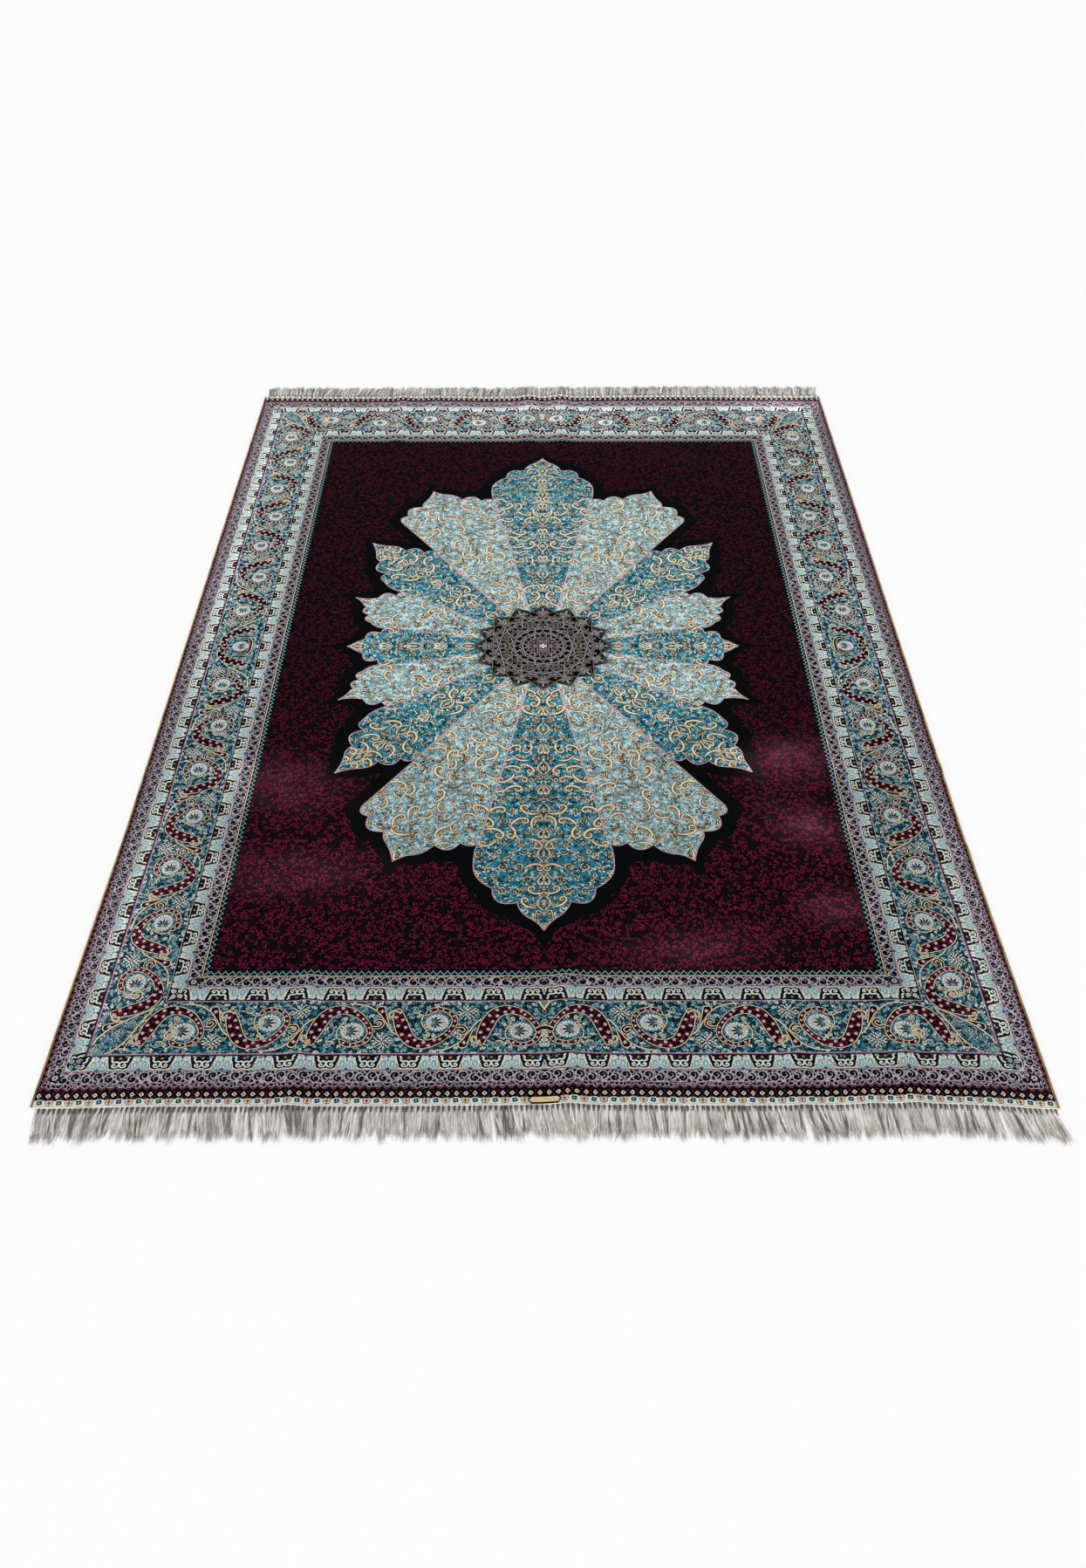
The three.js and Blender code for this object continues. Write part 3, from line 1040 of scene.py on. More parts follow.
@dataclass
class Foliage:
    """The petals' scrollwork, motif by motif, in cream and gold with a thin darker outline."""

    layer: Chart
    pose: Pose
    rim: Dye = Dye.NAVY
    outline: float = 1.5
    axis_gap: float = 31.0

    def line(self, points: object, width: object, silk: Dye = Dye.CREAM) -> None:
        """Paint an outlined line in a motif's own frame."""
        placed = self.pose.place(points)
        self.layer.stroke(placed, np.multiply(width, self.pose.size), silk, self.outline, self.rim)

    def leaf(self, x: float, y: float, lean: float, length: float, width: float,
             silk: Dye = Dye.CREAM) -> None:
        """Paint an outlined leaf in a motif's own frame."""
        self.layer.leaf(*self.pose.spot(x, y), length * self.pose.size, width * self.pose.size,
                        self.pose.heading(lean), silk, self.outline, self.rim)

    def motif(self, kind: int) -> None:
        """Paint one of the four free motifs.

        Args:
            kind: a number from 0 to 7 that picks it.
        """
        if kind < 3:
            self.scroll()
        elif kind < 5:
            self.split_leaf()
        elif kind < 7:
            self.spray()
        else:
            self.tendril()

    def scroll(self) -> None:
        """Paint a swelling scroll that ends in a hook, with gold shading."""
        hook = spiral(8.5, 0.66, -0.6, 0.66)[::-1] + (11, 0)
        body = flowing([hook[-1], (12, -9), (1, -8.5), (-10, -3), (-17, 5), (-22, 15)], 4)
        line = np.vstack([hook[:-1], body])
        t = np.linspace(0, 1, len(line))
        self.line(line, np.interp(t, (0, 0.3, 0.62, 0.85, 1), (2, 4.6, 6, 4, 1)))
        shade = flowing([(17, -3), (12, -6.6), (3, -6.8), (-6, -3.6)], 3)
        self.layer.stroke(self.pose.place(shade), 1.9 * self.pose.size, Dye.GOLD)
        x, y = self.pose.spot(11, 1)
        self.layer.flower(x, y, 3.4 * self.pose.size, 3, Dye.GOLD, Dye.CREAM, self.rim, self.pose.turn)
        self.line(spiral(4.4, 0.9, 2.6, 0.3) + (-8, 7), 1.4)

    def split_leaf(self) -> None:
        """Paint a thin ring with two leaves that part from it."""
        self.line(spiral(9.5, 0.85, 0.4, 0.8), 1.8)
        for x, y, lean in ((9, 3.6, 0.7), (-7.8, 5.4, 2.4)):
            self.leaf(x, y, lean, 12, 5)
            self.leaf(x, y, lean, 7, 1.8, Dye.GOLD)
        self.leaf(-4.5, -2, 0.5, 9.5, 3.8, Dye.GOLD)

    def spray(self) -> None:
        """Paint a three-leaved bud on a thin stem."""
        self.line([(-15, -7), (-8, -1), (0, 0)], 1.5)
        for lean in (-1.1, 1.1, 0):
            self.leaf(0, 0, lean, 9, 4.4)
        self.layer.ellipse(*self.pose.spot(3, 0), 2.4, 1.8, Dye.GOLD, self.pose.turn)

    def tendril(self) -> None:
        """Paint a thin line that curls at both ends, with a gold leaf."""
        one = spiral(6.5, 0.9, 1.2, 0.25)[::-1] + (-9, 4)
        two = spiral(6.5, 0.9, 1.2 + math.pi, 0.25) + (9, -4)
        self.line(np.vstack([one, two]), 1.7)
        self.leaf(-1, 4, 0.4, 9, 4, Dye.GOLD)

    def on_axis(self, r: float, open_ring: bool) -> None:
        """Paint a motif that is the same on both sides of a petal's middle line.

        Args:
            r: how far out along the petal.
            open_ring: whether it is the pointed ring and not the pair of horns.
        """
        for hand in (-1, 1):
            if open_ring:
                arc = flowing([(-24, 0), (-13, 8.5), (0, 13), (12, 8), (22, 0)], 4)
                swell = np.interp(np.linspace(0, 1, len(arc)), (0, 0.5, 1), (1.6, 5.4, 1.6))
                self.line((arc + (r, 0)) * (1, hand), swell)
                self.layer.stroke(self.pose.place((arc[4:-4] + (r, -1.2)) * (1, hand)), 1.6, Dye.GOLD)
                curl = spiral(5.2, 0.9, math.pi, 0.3) + (r + 4, 20)
                self.line(curl * (1, hand), 1.6)
            else:
                horn = flowing([(-16, 0), (-6, 6), (6, 12), (15, 10), (16, 4), (11, 3)], 4)
                self.line((horn + (r, 0)) * (1, hand), np.linspace(1.8, 5.2, len(horn)))
                self.line(((r - 14, 4 * hand), (r - 9, 13 * hand), (r, 18 * hand)), 1.8)
        self.leaf(r - 9, 0, 0, 17, 6)
        self.layer.ellipse(*self.pose.spot(r - 1, 0), 3.6, 1.6, Dye.GOLD, self.pose.turn)
        x, y = self.pose.spot(r + self.axis_gap, 0)
        self.layer.flower(x, y, 4.4, 4, Dye.CREAM, Dye.RUST, self.rim, self.pose.turn)


@dataclass
class Medallion:
    """The medallion of sixteen petals round a star of strapwork, on its black halo."""

    chart: Chart
    rng: np.random.Generator
    halo: float = 67.0
    halo_point: float = 0.4
    scroll_step: float = 35.0
    star_tip: float = 180.0
    star_valley: float = 153.0
    star_points: int = 16
    flower_ring: float = 149.0
    core: float = 37.0
    chords: tuple = ((134, 3, 2.2, Dye.LILAC, 1.5), (110, 4, 2.2, Dye.SLATE, 1.5),
                     (88, 3, 2.2, Dye.LILAC, 1.5), (62, 3, 2.2, Dye.LILAC, 1.5),
                     (180, 4, 1.8, Dye.SLATE, 0.9))

    def draw(self) -> None:
        """Paint the halo, then the petals, then the star over their roots."""
        chart = self.chart
        lines = [bulged(petal.outline) for petal in PETALS]
        for petal, line in zip(PETALS, lines):
            outer = line[np.hypot(line[:, 0], line[:, 1]) > 300]
            tip = np.array(max(petal.outline, key=lambda row: math.hypot(row[0], row[1]))[:2])
            away = np.hypot(*(outer - tip).T)
            width = self.halo * (1 - self.halo_point * np.exp(-(away / 40) ** 2))
            chart.stroke(outer, width, Dye.INK)
            chart.stroke([tip, tip * (1 + 48 / np.hypot(*tip))], (38, 2), Dye.INK)
        masks = [chart.inside(line) for line in lines]
        for petal, mask in zip(PETALS, masks):
            layer = self.dress(petal)
            chart.knots[mask] = layer.knots[mask]
        for width, silk in ((2.6, Dye.ROSE), (1.4, Dye.BLUSH)):
            for line in lines:
                edge = line[line.min(axis=1) > 1]
                chart.stroke(edge, width, silk)
        self.star()

    def dress(self, petal: Petal) -> Chart:
        """Paint a petal's own pattern over a whole quarter, for its outline to cut.

        Args:
            petal: the petal.

        Returns:
            The painted quarter.
        """
        rng = self.rng
        layer = Chart(HALF_COLUMNS, HALF_ROWS, Dye.TEAL if petal.dark else Dye.SKY)
        silks = DARK_GROUND if petal.dark else PALE_GROUND
        spot = np.array([row[:2] for row in petal.outline], float)
        low = (float(spot[:, 0].min()) - 12, float(spot[:, 1].min()) - 12)
        high = (float(spot[:, 0].max()) + 12, float(spot[:, 1].max()) + 12)
        layer.strew(rng, scattered(rng, low, high, 6), silks, (8, 12))
        middle = Pose(0, 0, math.radians(petal.turn))
        reach = float(np.hypot(spot[:, 0], spot[:, 1]).max())
        for row, r in enumerate(np.arange(190, reach + 20, self.scroll_step)):
            half = r * math.tan(TURN / 32) * 1.5 + 30
            first = 0.5 * (row % 2)
            if petal.dark and row % 2 == 0:
                Foliage(layer, middle).on_axis(r, row % 4 == 0)
                first = 1
            for column in range(int(half / self.scroll_step) + 2):
                t = (column + first) * self.scroll_step
                kind = int(rng.integers(8))
                lean = rng.uniform(0, TURN)
                size = rng.uniform(0.8, 1.1)
                for hand in (-1, 1):
                    x, y = middle.spot(r + rng.uniform(-5, 5) * (not petal.dark), hand * t)
                    pose = Pose(x, y, middle.turn + hand * lean, size, hand < 0)
                    Foliage(layer, pose).motif(kind)
                    if not petal.dark:
                        kind = int(rng.integers(8))
                        lean = rng.uniform(0, TURN)
        return layer

    def ring(self, radius: float, shift: float = 0.0) -> np.ndarray:
        """Return one point for each tip of the star on a circle, turned by a share of a step."""
        angle = TURN * (np.arange(self.star_points) + shift) / self.star_points
        return np.column_stack([radius * np.cos(angle), radius * np.sin(angle)])

    def strapwork(self, inner: float, outer: float, count: int, sweep: float) -> None:
        """Paint a ring of straps that cross as in a basket.

        Args:
            inner: the ring's inner radius.
            outer: its outer radius.
            count: how many straps lean each way.
            sweep: how far round each strap goes, as a share of a turn over the ring.
        """
        t = np.linspace(0, 1, 14)
        reach = inner + (outer - inner) * t
        for hand in (-1, 1):
            for k in range(count):
                angle = TURN * (k / count + 0.5 * sweep * hand * t ** 0.8)
                silk = Dye.LILAC if k % 3 == 0 else Dye.SLATE
                line = np.column_stack([reach * np.cos(angle), reach * np.sin(angle)])
                self.chart.stroke(line, 2.8, silk, 1.6, Dye.INK)

    def star(self) -> None:
        """Paint the star: black ground, crossing strapwork, a small flower in each tip, and the core."""
        chart = self.chart
        outline = np.empty((2 * self.star_points, 2))
        outline[0::2] = self.ring(self.star_tip)
        outline[1::2] = self.ring(self.star_valley, 0.5)
        chart.polygon(outline, Dye.INK)
        self.strapwork(92, 138, 40, 0.08)
        self.strapwork(34, 96, 20, 0.17)
        for radius, skip, width, silk, rim in self.chords:
            ring = self.ring(radius)
            for k in range(self.star_points):
                chart.stroke([ring[k], ring[(k + skip) % self.star_points]], width, silk, rim, Dye.INK)
        for width, silk in ((4.4, Dye.INK), (1.8, Dye.SLATE)):
            chart.stroke(np.vstack([outline, outline[:1]]), width, silk)
        for x, y in self.ring(self.flower_ring):
            tip = Pose(x, y, math.atan2(y, x))
            chart.polygon(tip.place([(-17, 0), (0, -17), (23, 0), (0, 17)]), Dye.INK)
            for hand in (-1, 1):
                curl = spiral(6.2, 1.15, -1.2, 0.2) * (1, hand) + (-1, 7.4 * hand)
                chart.stroke(tip.place(curl), 2.1, Dye.LILAC)
                chart.leaf(*tip.spot(-14, 0), 11, 3.6, tip.turn + 0.5 * hand, Dye.LILAC)
            chart.leaf(*tip.spot(4, 0), 16, 5.6, tip.turn, Dye.LILAC, 0.8, Dye.INK)
            chart.ellipse(*tip.spot(-2, 0), 1.8, 1.8, Dye.BLUSH)
            for hand in (-1, 1):
                chart.stroke(tip.place([(-17, 0), (0, 18 * hand), (27, 0)]), 1.2, Dye.SLATE)
        for radius, silk in ((self.core, Dye.ROSE), (self.core - 1.3, Dye.INK)):
            chart.polygon(self.ring(radius, 0.5), silk)
        for x, y in scattered(self.rng, (0, 0), (self.core, self.core), 4.4):
            if math.hypot(x, y) < self.core - 3:
                silk = (Dye.LILAC, Dye.ROSE, Dye.LILAC)[int(self.rng.integers(3))]
                chart.comma(x, y, self.rng.uniform(0, TURN), 5, silk)
        chart.flower(0, 0, 9, 4, Dye.CREAM, Dye.RUST, Dye.INK)
        chart.flower(0, 0, 4, 4, Dye.GOLD, Dye.ICE)


@dataclass
class Design:
    """The whole rug's chart: a quarter drawn once, then mirrored to both sides and both ends."""

    seed: int = 11
    cartouche: tuple[float, float] = (29.0, 7.8)
    cartouche_row: float = 7.2
    cartouche_rim: float = 2.4

    def quarter(self) -> np.ndarray:
        """Paint a quarter from the rug's middle to its corner.

        Returns:
            Its knots, the rug's middle first.
        """
        rng = np.random.default_rng(self.seed)
        chart = Chart(HALF_COLUMNS, HALF_ROWS, Dye.INK)
        Field(chart, rng).draw()
        Medallion(chart, rng).draw()
        short = Border(Side.SHORT, float(HALF_COLUMNS), self.seed + 1).draw()
        long = Border(Side.LONG, float(HALF_ROWS), self.seed + 2).draw()
        from_end = HALF_WOVEN - END_ROWS_DEPTH - chart.y
        from_side = np.interp(HALF_WIDTH - chart.x, SIDE_STEPS, BAND_STEPS, left=0, right=1e6)
        deep_end = np.clip(from_end.astype(int), 0, int(BORDER_DEPTH) - 1)
        deep_side = np.clip(from_side.astype(int), 0, int(BORDER_DEPTH) - 1)
        ends = short[deep_end, :]
        sides = long[deep_side, :].T
        ends_nearer = from_end[:, None] <= from_side[None, :]
        border = np.where(ends_nearer, ends, sides)
        in_border = np.minimum(from_end[:, None], from_side[None, :]) < BORDER_DEPTH
        chart.knots[in_border] = border[in_border]
        Corner(chart, rng).draw()
        rows = EndRows().draw()[HEADING_ROWS:, :]
        chart.knots[HALF_ROWS - len(rows):, :] = rows[::-1, :]
        return chart.knots

    def whole(self) -> np.ndarray:
        """Mirror the quarter and weave in the bare tan cartouche of the near end.

        Returns:
            The rug's knots, the near end first and the left side first.
        """
        quarter = self.quarter()
        half = np.hstack([quarter[:, ::-1], quarter])
        full = np.vstack([half[::-1], half])
        half_width, half_height = self.cartouche
        over = np.abs(np.arange(full.shape[1]) + 0.5 - HALF_COLUMNS) - (half_width - half_height)
        over = np.maximum(over, 0)[None, :]
        up = np.arange(full.shape[0])[:, None] + 0.5 - self.cartouche_row
        for reach, silk in ((half_height, Dye.INK), (half_height - self.cartouche_rim, Dye.CREAM)):
            inner = over ** 2 + up ** 2 <= reach ** 2
            full[inner] = int(silk)
        every_third = (np.arange(full.shape[0])[:, None] + np.arange(full.shape[1])[None, :]) % 3 == 0
        full[inner & every_third] = int(Dye.GOLD)
        return full


# How the rug lies

@dataclass(frozen=True)
class Crease:
    """A low crease: where its crest lies, its height, its spread and where it begins and ends."""

    at: float
    height: float
    spread: float
    begin: float
    end: float


@dataclass(frozen=True)
class Wave:
    """A stretch of a short end that lies a little out of line: its middle, its shift and its spread."""

    at: float
    shift: float
    spread: float


def eased(value: np.ndarray) -> np.ndarray:
    """Return a smooth rise from 0 to 1."""
    t = np.clip(value, 0.0, 1.0)
    return t * t * (3.0 - 2.0 * t)


@dataclass(frozen=True)
class Drape:
    """The way the rug lies on the floor, as its solids do: fold lines, uneven ends and a flared near end."""

    flare: float = 0.0135
    flare_reach: float = 700.0
    wave_reach: float = 260.0
    crease_fade: float = 120.0
    flat_below: float = 0.05
    along: tuple[Crease, ...] = (
        Crease(-455, 5, 20, -1500, -820), Crease(-455, 4, 20, 930, 1500), Crease(-350, 2.5, 22, 1040, 1500),
        Crease(-45, 6, 26, 1010, 1500), Crease(45, 6, 28, -1500, -800), Crease(60, 6, 28, 1010, 1500),
        Crease(160, 2.5, 20, -1500, -1290), Crease(462, 3, 20, -1500, -1040),
        Crease(582, 3, 20, -1500, -1290), Crease(662, 4, 22, -1500, -1060))
    across: tuple[Crease, ...] = (Crease(-738, 3, 22, -330, 1000), Crease(-468, 3.5, 20, 340, 1000))
    near_waves: tuple[Wave, ...] = (Wave(-880, -4, 110), Wave(40, 2.5, 190), Wave(640, 4.5, 110),
                                    Wave(905, -9, 80))
    far_waves: tuple[Wave, ...] = (Wave(-600, -4, 210), Wave(-160, -4, 80), Wave(430, 5, 260))

    def rise(self, crease: Crease, off: np.ndarray, on: np.ndarray) -> np.ndarray:
        """Return one crease's height at places across and along it."""
        ends = eased((on - crease.begin) / self.crease_fade) * eased((crease.end - on) / self.crease_fade)
        return crease.height * np.exp(-(((off - crease.at) / crease.spread) ** 2)) * ends

    def shift(self, waves: tuple[Wave, ...], x: np.ndarray) -> np.ndarray:
        """Return how far a short end lies out of line at places across it."""
        return sum(wave.shift * np.exp(-(((x - wave.at) / wave.spread) ** 2)) for wave in waves)

    def lay(self, x: np.ndarray, y: np.ndarray, height: np.ndarray) -> np.ndarray:
        """Lay flat points on the floor.

        Args:
            x: places across the flat rug, in millimetres.
            y: places along it.
            height: heights over its underside.

        Returns:
            Rows of x, y and z in metres.
        """
        x, y, height = np.broadcast_arrays(*(np.asarray(part, float) for part in (x, y, height)))
        lift = sum(self.rise(crease, x, y) for crease in self.along)
        lift = lift + sum(self.rise(crease, y, x) for crease in self.across)
        lift = np.where(lift < self.flat_below, 0.0, lift)
        spread = 1.0 + self.flare * np.maximum(0.0, 1.0 - (y + HALF_WOVEN) / self.flare_reach)
        near = eased(1.0 - (y + HALF_WOVEN) / self.wave_reach) * self.shift(self.near_waves, x)
        far = eased(1.0 - (HALF_WOVEN - y) / self.wave_reach) * self.shift(self.far_waves, x)
        return np.stack([x * spread, y + near + far, height + lift], axis=-1) * MM


DRAPE = Drape()


# Meshes and materials

def make_piece(name: str, node_name: str, points: np.ndarray,
               faces: list | np.ndarray) -> bpy.types.Object:
    """Make a piece from its points and faces, attach it to the root and hide the solid that it stands for.

    Args:
        name: the piece's name.
        node_name: the solid that it stands for.
        points: rows of x, y and z in metres.
        faces: rows of point numbers.

    Returns:
        The piece.
    """
    mesh = bpy.data.meshes.new(name)
    rows = faces.tolist() if isinstance(faces, np.ndarray) else faces
    mesh.from_pydata(points.tolist(), [], rows)
    mesh.polygons.foreach_set("use_smooth", np.ones(len(mesh.polygons), bool))
    mesh.update()
    piece = bpy.data.objects.new(name, mesh)
    bpy.context.scene.collection.objects.link(piece)
    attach(piece, "root")
    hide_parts(node_name)
    return piece


def linear(code: str) -> tuple[float, float, float, float]:
    """Turn an sRGB hex colour into a linear one.

    Args:
        code: the hex colour.

    Returns:
        Its red, green, blue and alpha.
    """
    parts = [int(code[i:i + 2], 16) / 255.0 for i in (1, 3, 5)]
    red, green, blue = (c / 12.92 if c <= 0.04045 else ((c + 0.055) / 1.055) ** 2.4 for c in parts)
    return red, green, blue, 1.0


def fill_inputs(tree: bpy.types.NodeTree, node: bpy.types.Node, inputs: dict) -> None:
    """Set or link a node's inputs.

    Args:
        tree: the node tree.
        node: the node.
        inputs: values, sockets or nodes by input name or number. A node stands for its first output.
    """
    for key, value in inputs.items():
        source = value.outputs[0] if isinstance(value, bpy.types.Node) else value
        if isinstance(source, bpy.types.NodeSocket):
            tree.links.new(source, node.inputs[key])
        else:
            node.inputs[key].default_value = source


def add_node(tree: bpy.types.NodeTree, kind: str, inputs: dict | None = None,
             **settings: object) -> bpy.types.Node:
    """Add a node with its settings and links.

    Args:
        tree: the node tree.
        kind: the node's type, without ShaderNode before it.
        inputs: what fills its inputs.
        settings: the node's own properties.

    Returns:
        The node.
    """
    made = tree.nodes.new("ShaderNode" + kind)
    for name, value in settings.items():
        setattr(made, name, value)
    fill_inputs(tree, made, inputs or {})
    return made


def new_material(name: str) -> tuple[bpy.types.Material, bpy.types.NodeTree, bpy.types.Node]:
    """Start a material.

    Args:
        name: its name.

    Returns:
        The material, its nodes and its shader.
    """
    material = bpy.data.materials.new(name)
    material.use_nodes = True
    return material, material.node_tree, material.node_tree.nodes["Principled BSDF"]


@dataclass(frozen=True)
class KnottedSilk:
    """Hand-knotted mulberry silk, clipped low to a close pile, with sheen and some shade painted into its
    colour.

    The knots' colours and the painted sheen and shade come from the piece's own attributes, and the dye lots
    and relief from noise. Each dye has two colours, one with the near end's painted sheen and one with the
    far end's.
    The knots are drawn 1 mm wide, as coarse as they need to be to show.
    """

    roughness: float = 0.62
    ior: float = 1.54
    specular: float = 0.012
    knot_mm: float = 1.0
    tint: float = 0.16
    lot_mm: float = 625.0
    lot_stretch: float = 9.0
    lot_change: float = 0.12
    # Painted sheen: the stretch, in metres along the rug, where the near end's colours blend into the far
    # end's
    painted_sheen_span: tuple[float, float] = (-0.7, -0.06)
    # Painted sheen: the painted highlights' mottle, and how much they brighten and tint the colour
    painted_sheen_mottle_mm: float = 62.5
    painted_sheen_mottle_gain: float = 2.6
    painted_sheen_mottle_shift: float = -0.62
    painted_sheen_gain: float = 2.3
    painted_sheen_tint: tuple[float, float, float] = (0.048, 0.018, 0.026)
    tuft_mm: float = 2.381
    ripple_mm: float = 45.45
    ripple_share: float = 3.0
    relief_mm: float = 1.2
    relief: float = 0.5

    def dyes(self, tree: bpy.types.NodeTree, spot: bpy.types.Node, way: int) -> bpy.types.Node:
        """Turn a dye's number into its colour.

        Args:
            tree: the node tree.
            spot: the dye's number, as a place from 0 to 1.
            way: 0 for the colour with the near end's painted sheen and shade, and 1 for the colour with the
                far end's.

        Returns:
            The node that gives the colour.
        """
        ramp = add_node(tree, "ValToRGB", {0: spot})
        stops = ramp.color_ramp
        stops.interpolation = "CONSTANT"
        for dye in Dye:
            stop = stops.elements[0] if dye == 0 else stops.elements.new(int(dye) / DYES)
            stop.color = linear(DYE_AND_SHEEN_HEX[dye][way])
        while len(stops.elements) > len(Dye):
            stops.elements.remove(stops.elements[-1])
        return ramp

    def digit(self, tree: bpy.types.NodeTree, column: bpy.types.Node, row: bpy.types.Node) -> bpy.types.Node:
        """Read the knot's dye number out of its block.

        Args:
            tree: the node tree.
            column: the knot's column in its block.
            row: the knot's row in its block.

        Returns:
            The node that gives the dye's number.
        """
        value = 0.5
        for half, name in enumerate(("knots_low", "knots_high")):
            block = add_node(tree, "Attribute", attribute_name=name)
            parts = add_node(tree, "SeparateColor", {"Color": block.outputs["Color"]})
            sources = [*parts.outputs[0:3], block.outputs["Alpha"]]
            for k, source in enumerate(sources):
                at = float(4 * half + k)
                here = add_node(tree, "Math", {0: row, 1: at, 2: 0.1}, operation="COMPARE")
                value = add_node(tree, "Math", {0: here, 1: source, 2: value}, operation="MULTIPLY_ADD")
        power = add_node(tree, "Math", {0: DYES, 1: column}, operation="POWER")
        quotient = add_node(tree, "Math", {0: value, 1: power}, operation="DIVIDE")
        whole = add_node(tree, "Math", {0: quotient}, operation="FLOOR")
        return add_node(tree, "Math", {0: whole, 1: DYES}, operation="MODULO")

    def make(self) -> bpy.types.Material:
        """Make the material.

        Returns:
            The material.
        """
        material, tree, shader = new_material("hand_knotted_silk_pile")
        place = add_node(tree, "Attribute", attribute_name="knot_place_and_painted_light")
        parts = add_node(tree, "SeparateXYZ", {0: place.outputs["Vector"]})
        within = []
        for source, count in ((parts.outputs[0], BLOCK_COLUMNS), (parts.outputs[1], BLOCK_ROWS)):
            kept = add_node(tree, "Math", {0: source, 1: count - 0.001}, operation="MINIMUM")
            within.append(add_node(tree, "Math", {0: kept}, operation="FLOOR"))
        digit = self.digit(tree, *within)
        spot = add_node(tree, "Math", {0: digit, 1: 1.0 / DYES, 2: 0.5 / DYES}, operation="MULTIPLY_ADD")
        # The third number at each corner is the painted light: sheen above 0, shade below
        painted_light = parts.outputs[2]
        rug = add_node(tree, "TexCoord").outputs["Object"]
        along = add_node(tree, "SeparateXYZ", {0: rug}).outputs[1]
        # Painted sheen: the dyes' near-end colours blend into their far-end ones along the rug
        first, last = self.painted_sheen_span
        lay = add_node(tree, "MapRange", {"Value": along, "From Min": first, "From Max": last},
                       interpolation_type="SMOOTHSTEP")
        painted_sheen_copies = [self.dyes(tree, spot, way) for way in (0, 1)]
        dyed = add_node(tree, "Mix", {"Factor": lay, 6: painted_sheen_copies[0], 7: painted_sheen_copies[1]}, data_type="RGBA")
        knot = add_node(tree, "VectorMath", {0: rug, "Scale": 1.0 / (self.knot_mm * MM)}, operation="SCALE")
        cell = add_node(tree, "VectorMath", {0: knot}, operation="FLOOR")
        fleck = add_node(tree, "TexWhiteNoise", {"Vector": cell}, noise_dimensions="2D")
        shade = add_node(tree, "Math", {0: fleck, 1: self.tint, 2: 1.0 - 0.5 * self.tint},
                         operation="MULTIPLY_ADD")
        long_lot = add_node(tree, "Mapping", {0: rug, "Scale": (1.0, self.lot_stretch, 1.0)})
        lots = add_node(tree, "TexNoise",
                        {"Vector": long_lot, "Scale": 1.0 / (self.lot_mm * MM), "Detail": 4.0})
        lot = add_node(tree, "Math", {0: lots, 1: 2.0 * self.lot_change, 2: 1.0 - self.lot_change},
                       operation="MULTIPLY_ADD")
        # Painted shade: the colour is darkened where the painted light is below 0
        away = add_node(tree, "Math", {0: painted_light, 1: 0.0}, operation="MINIMUM")
        painted_shade_factor = add_node(tree, "Math", {0: away, 1: 1.0}, operation="ADD")
        woven = add_node(tree, "Math", {0: shade, 1: lot}, operation="MULTIPLY")
        both = add_node(tree, "Math", {0: woven, 1: painted_shade_factor}, operation="MULTIPLY")
        tinted = add_node(tree, "VectorMath", {0: dyed.outputs[2], "Scale": both}, operation="SCALE")
        # Painted sheen: mottled noise picks where the painted highlights brighten and tint the colour
        painted_sheen_mottle = add_node(tree, "TexNoise", {"Vector": rug, "Scale": 1.0 / (self.painted_sheen_mottle_mm * MM),
                                             "Detail": 6.0, "Roughness": 0.65})
        lean = add_node(tree, "Math", {0: painted_sheen_mottle, 1: self.painted_sheen_mottle_gain, 2: self.painted_sheen_mottle_shift},
                        operation="MULTIPLY_ADD", use_clamp=True)
        painted_sheen_mask = add_node(tree, "Math", {0: painted_light, 1: lean}, operation="MULTIPLY", use_clamp=True)
        painted_sheen_brightened = add_node(tree, "VectorMath", {0: tinted, "Scale": self.painted_sheen_gain}, operation="SCALE")
        painted_sheen_colour = add_node(tree, "VectorMath", {0: painted_sheen_brightened, 1: self.painted_sheen_tint}, operation="ADD")
        colour = add_node(tree, "Mix", {"Factor": painted_sheen_mask, 6: tinted, 7: painted_sheen_colour}, data_type="RGBA")
        tufts = add_node(tree, "TexNoise",
                         {"Vector": rug, "Scale": 1.0 / (self.tuft_mm * MM), "Detail": 2.0})
        ripple = add_node(tree, "TexNoise",
                          {"Vector": rug, "Scale": 1.0 / (self.ripple_mm * MM), "Detail": 3.0})
        relief = add_node(tree, "Math", {0: ripple, 1: self.ripple_share, 2: tufts},
                          operation="MULTIPLY_ADD")
        bump = add_node(tree, "Bump",
                        {"Height": relief, "Distance": self.relief_mm * MM, "Strength": self.relief})
        fill_inputs(tree, shader, {"Base Color": colour.outputs[2], "Normal": bump, "IOR": self.ior,
                                   "Roughness": self.roughness, "Specular IOR Level": self.specular})
        return material


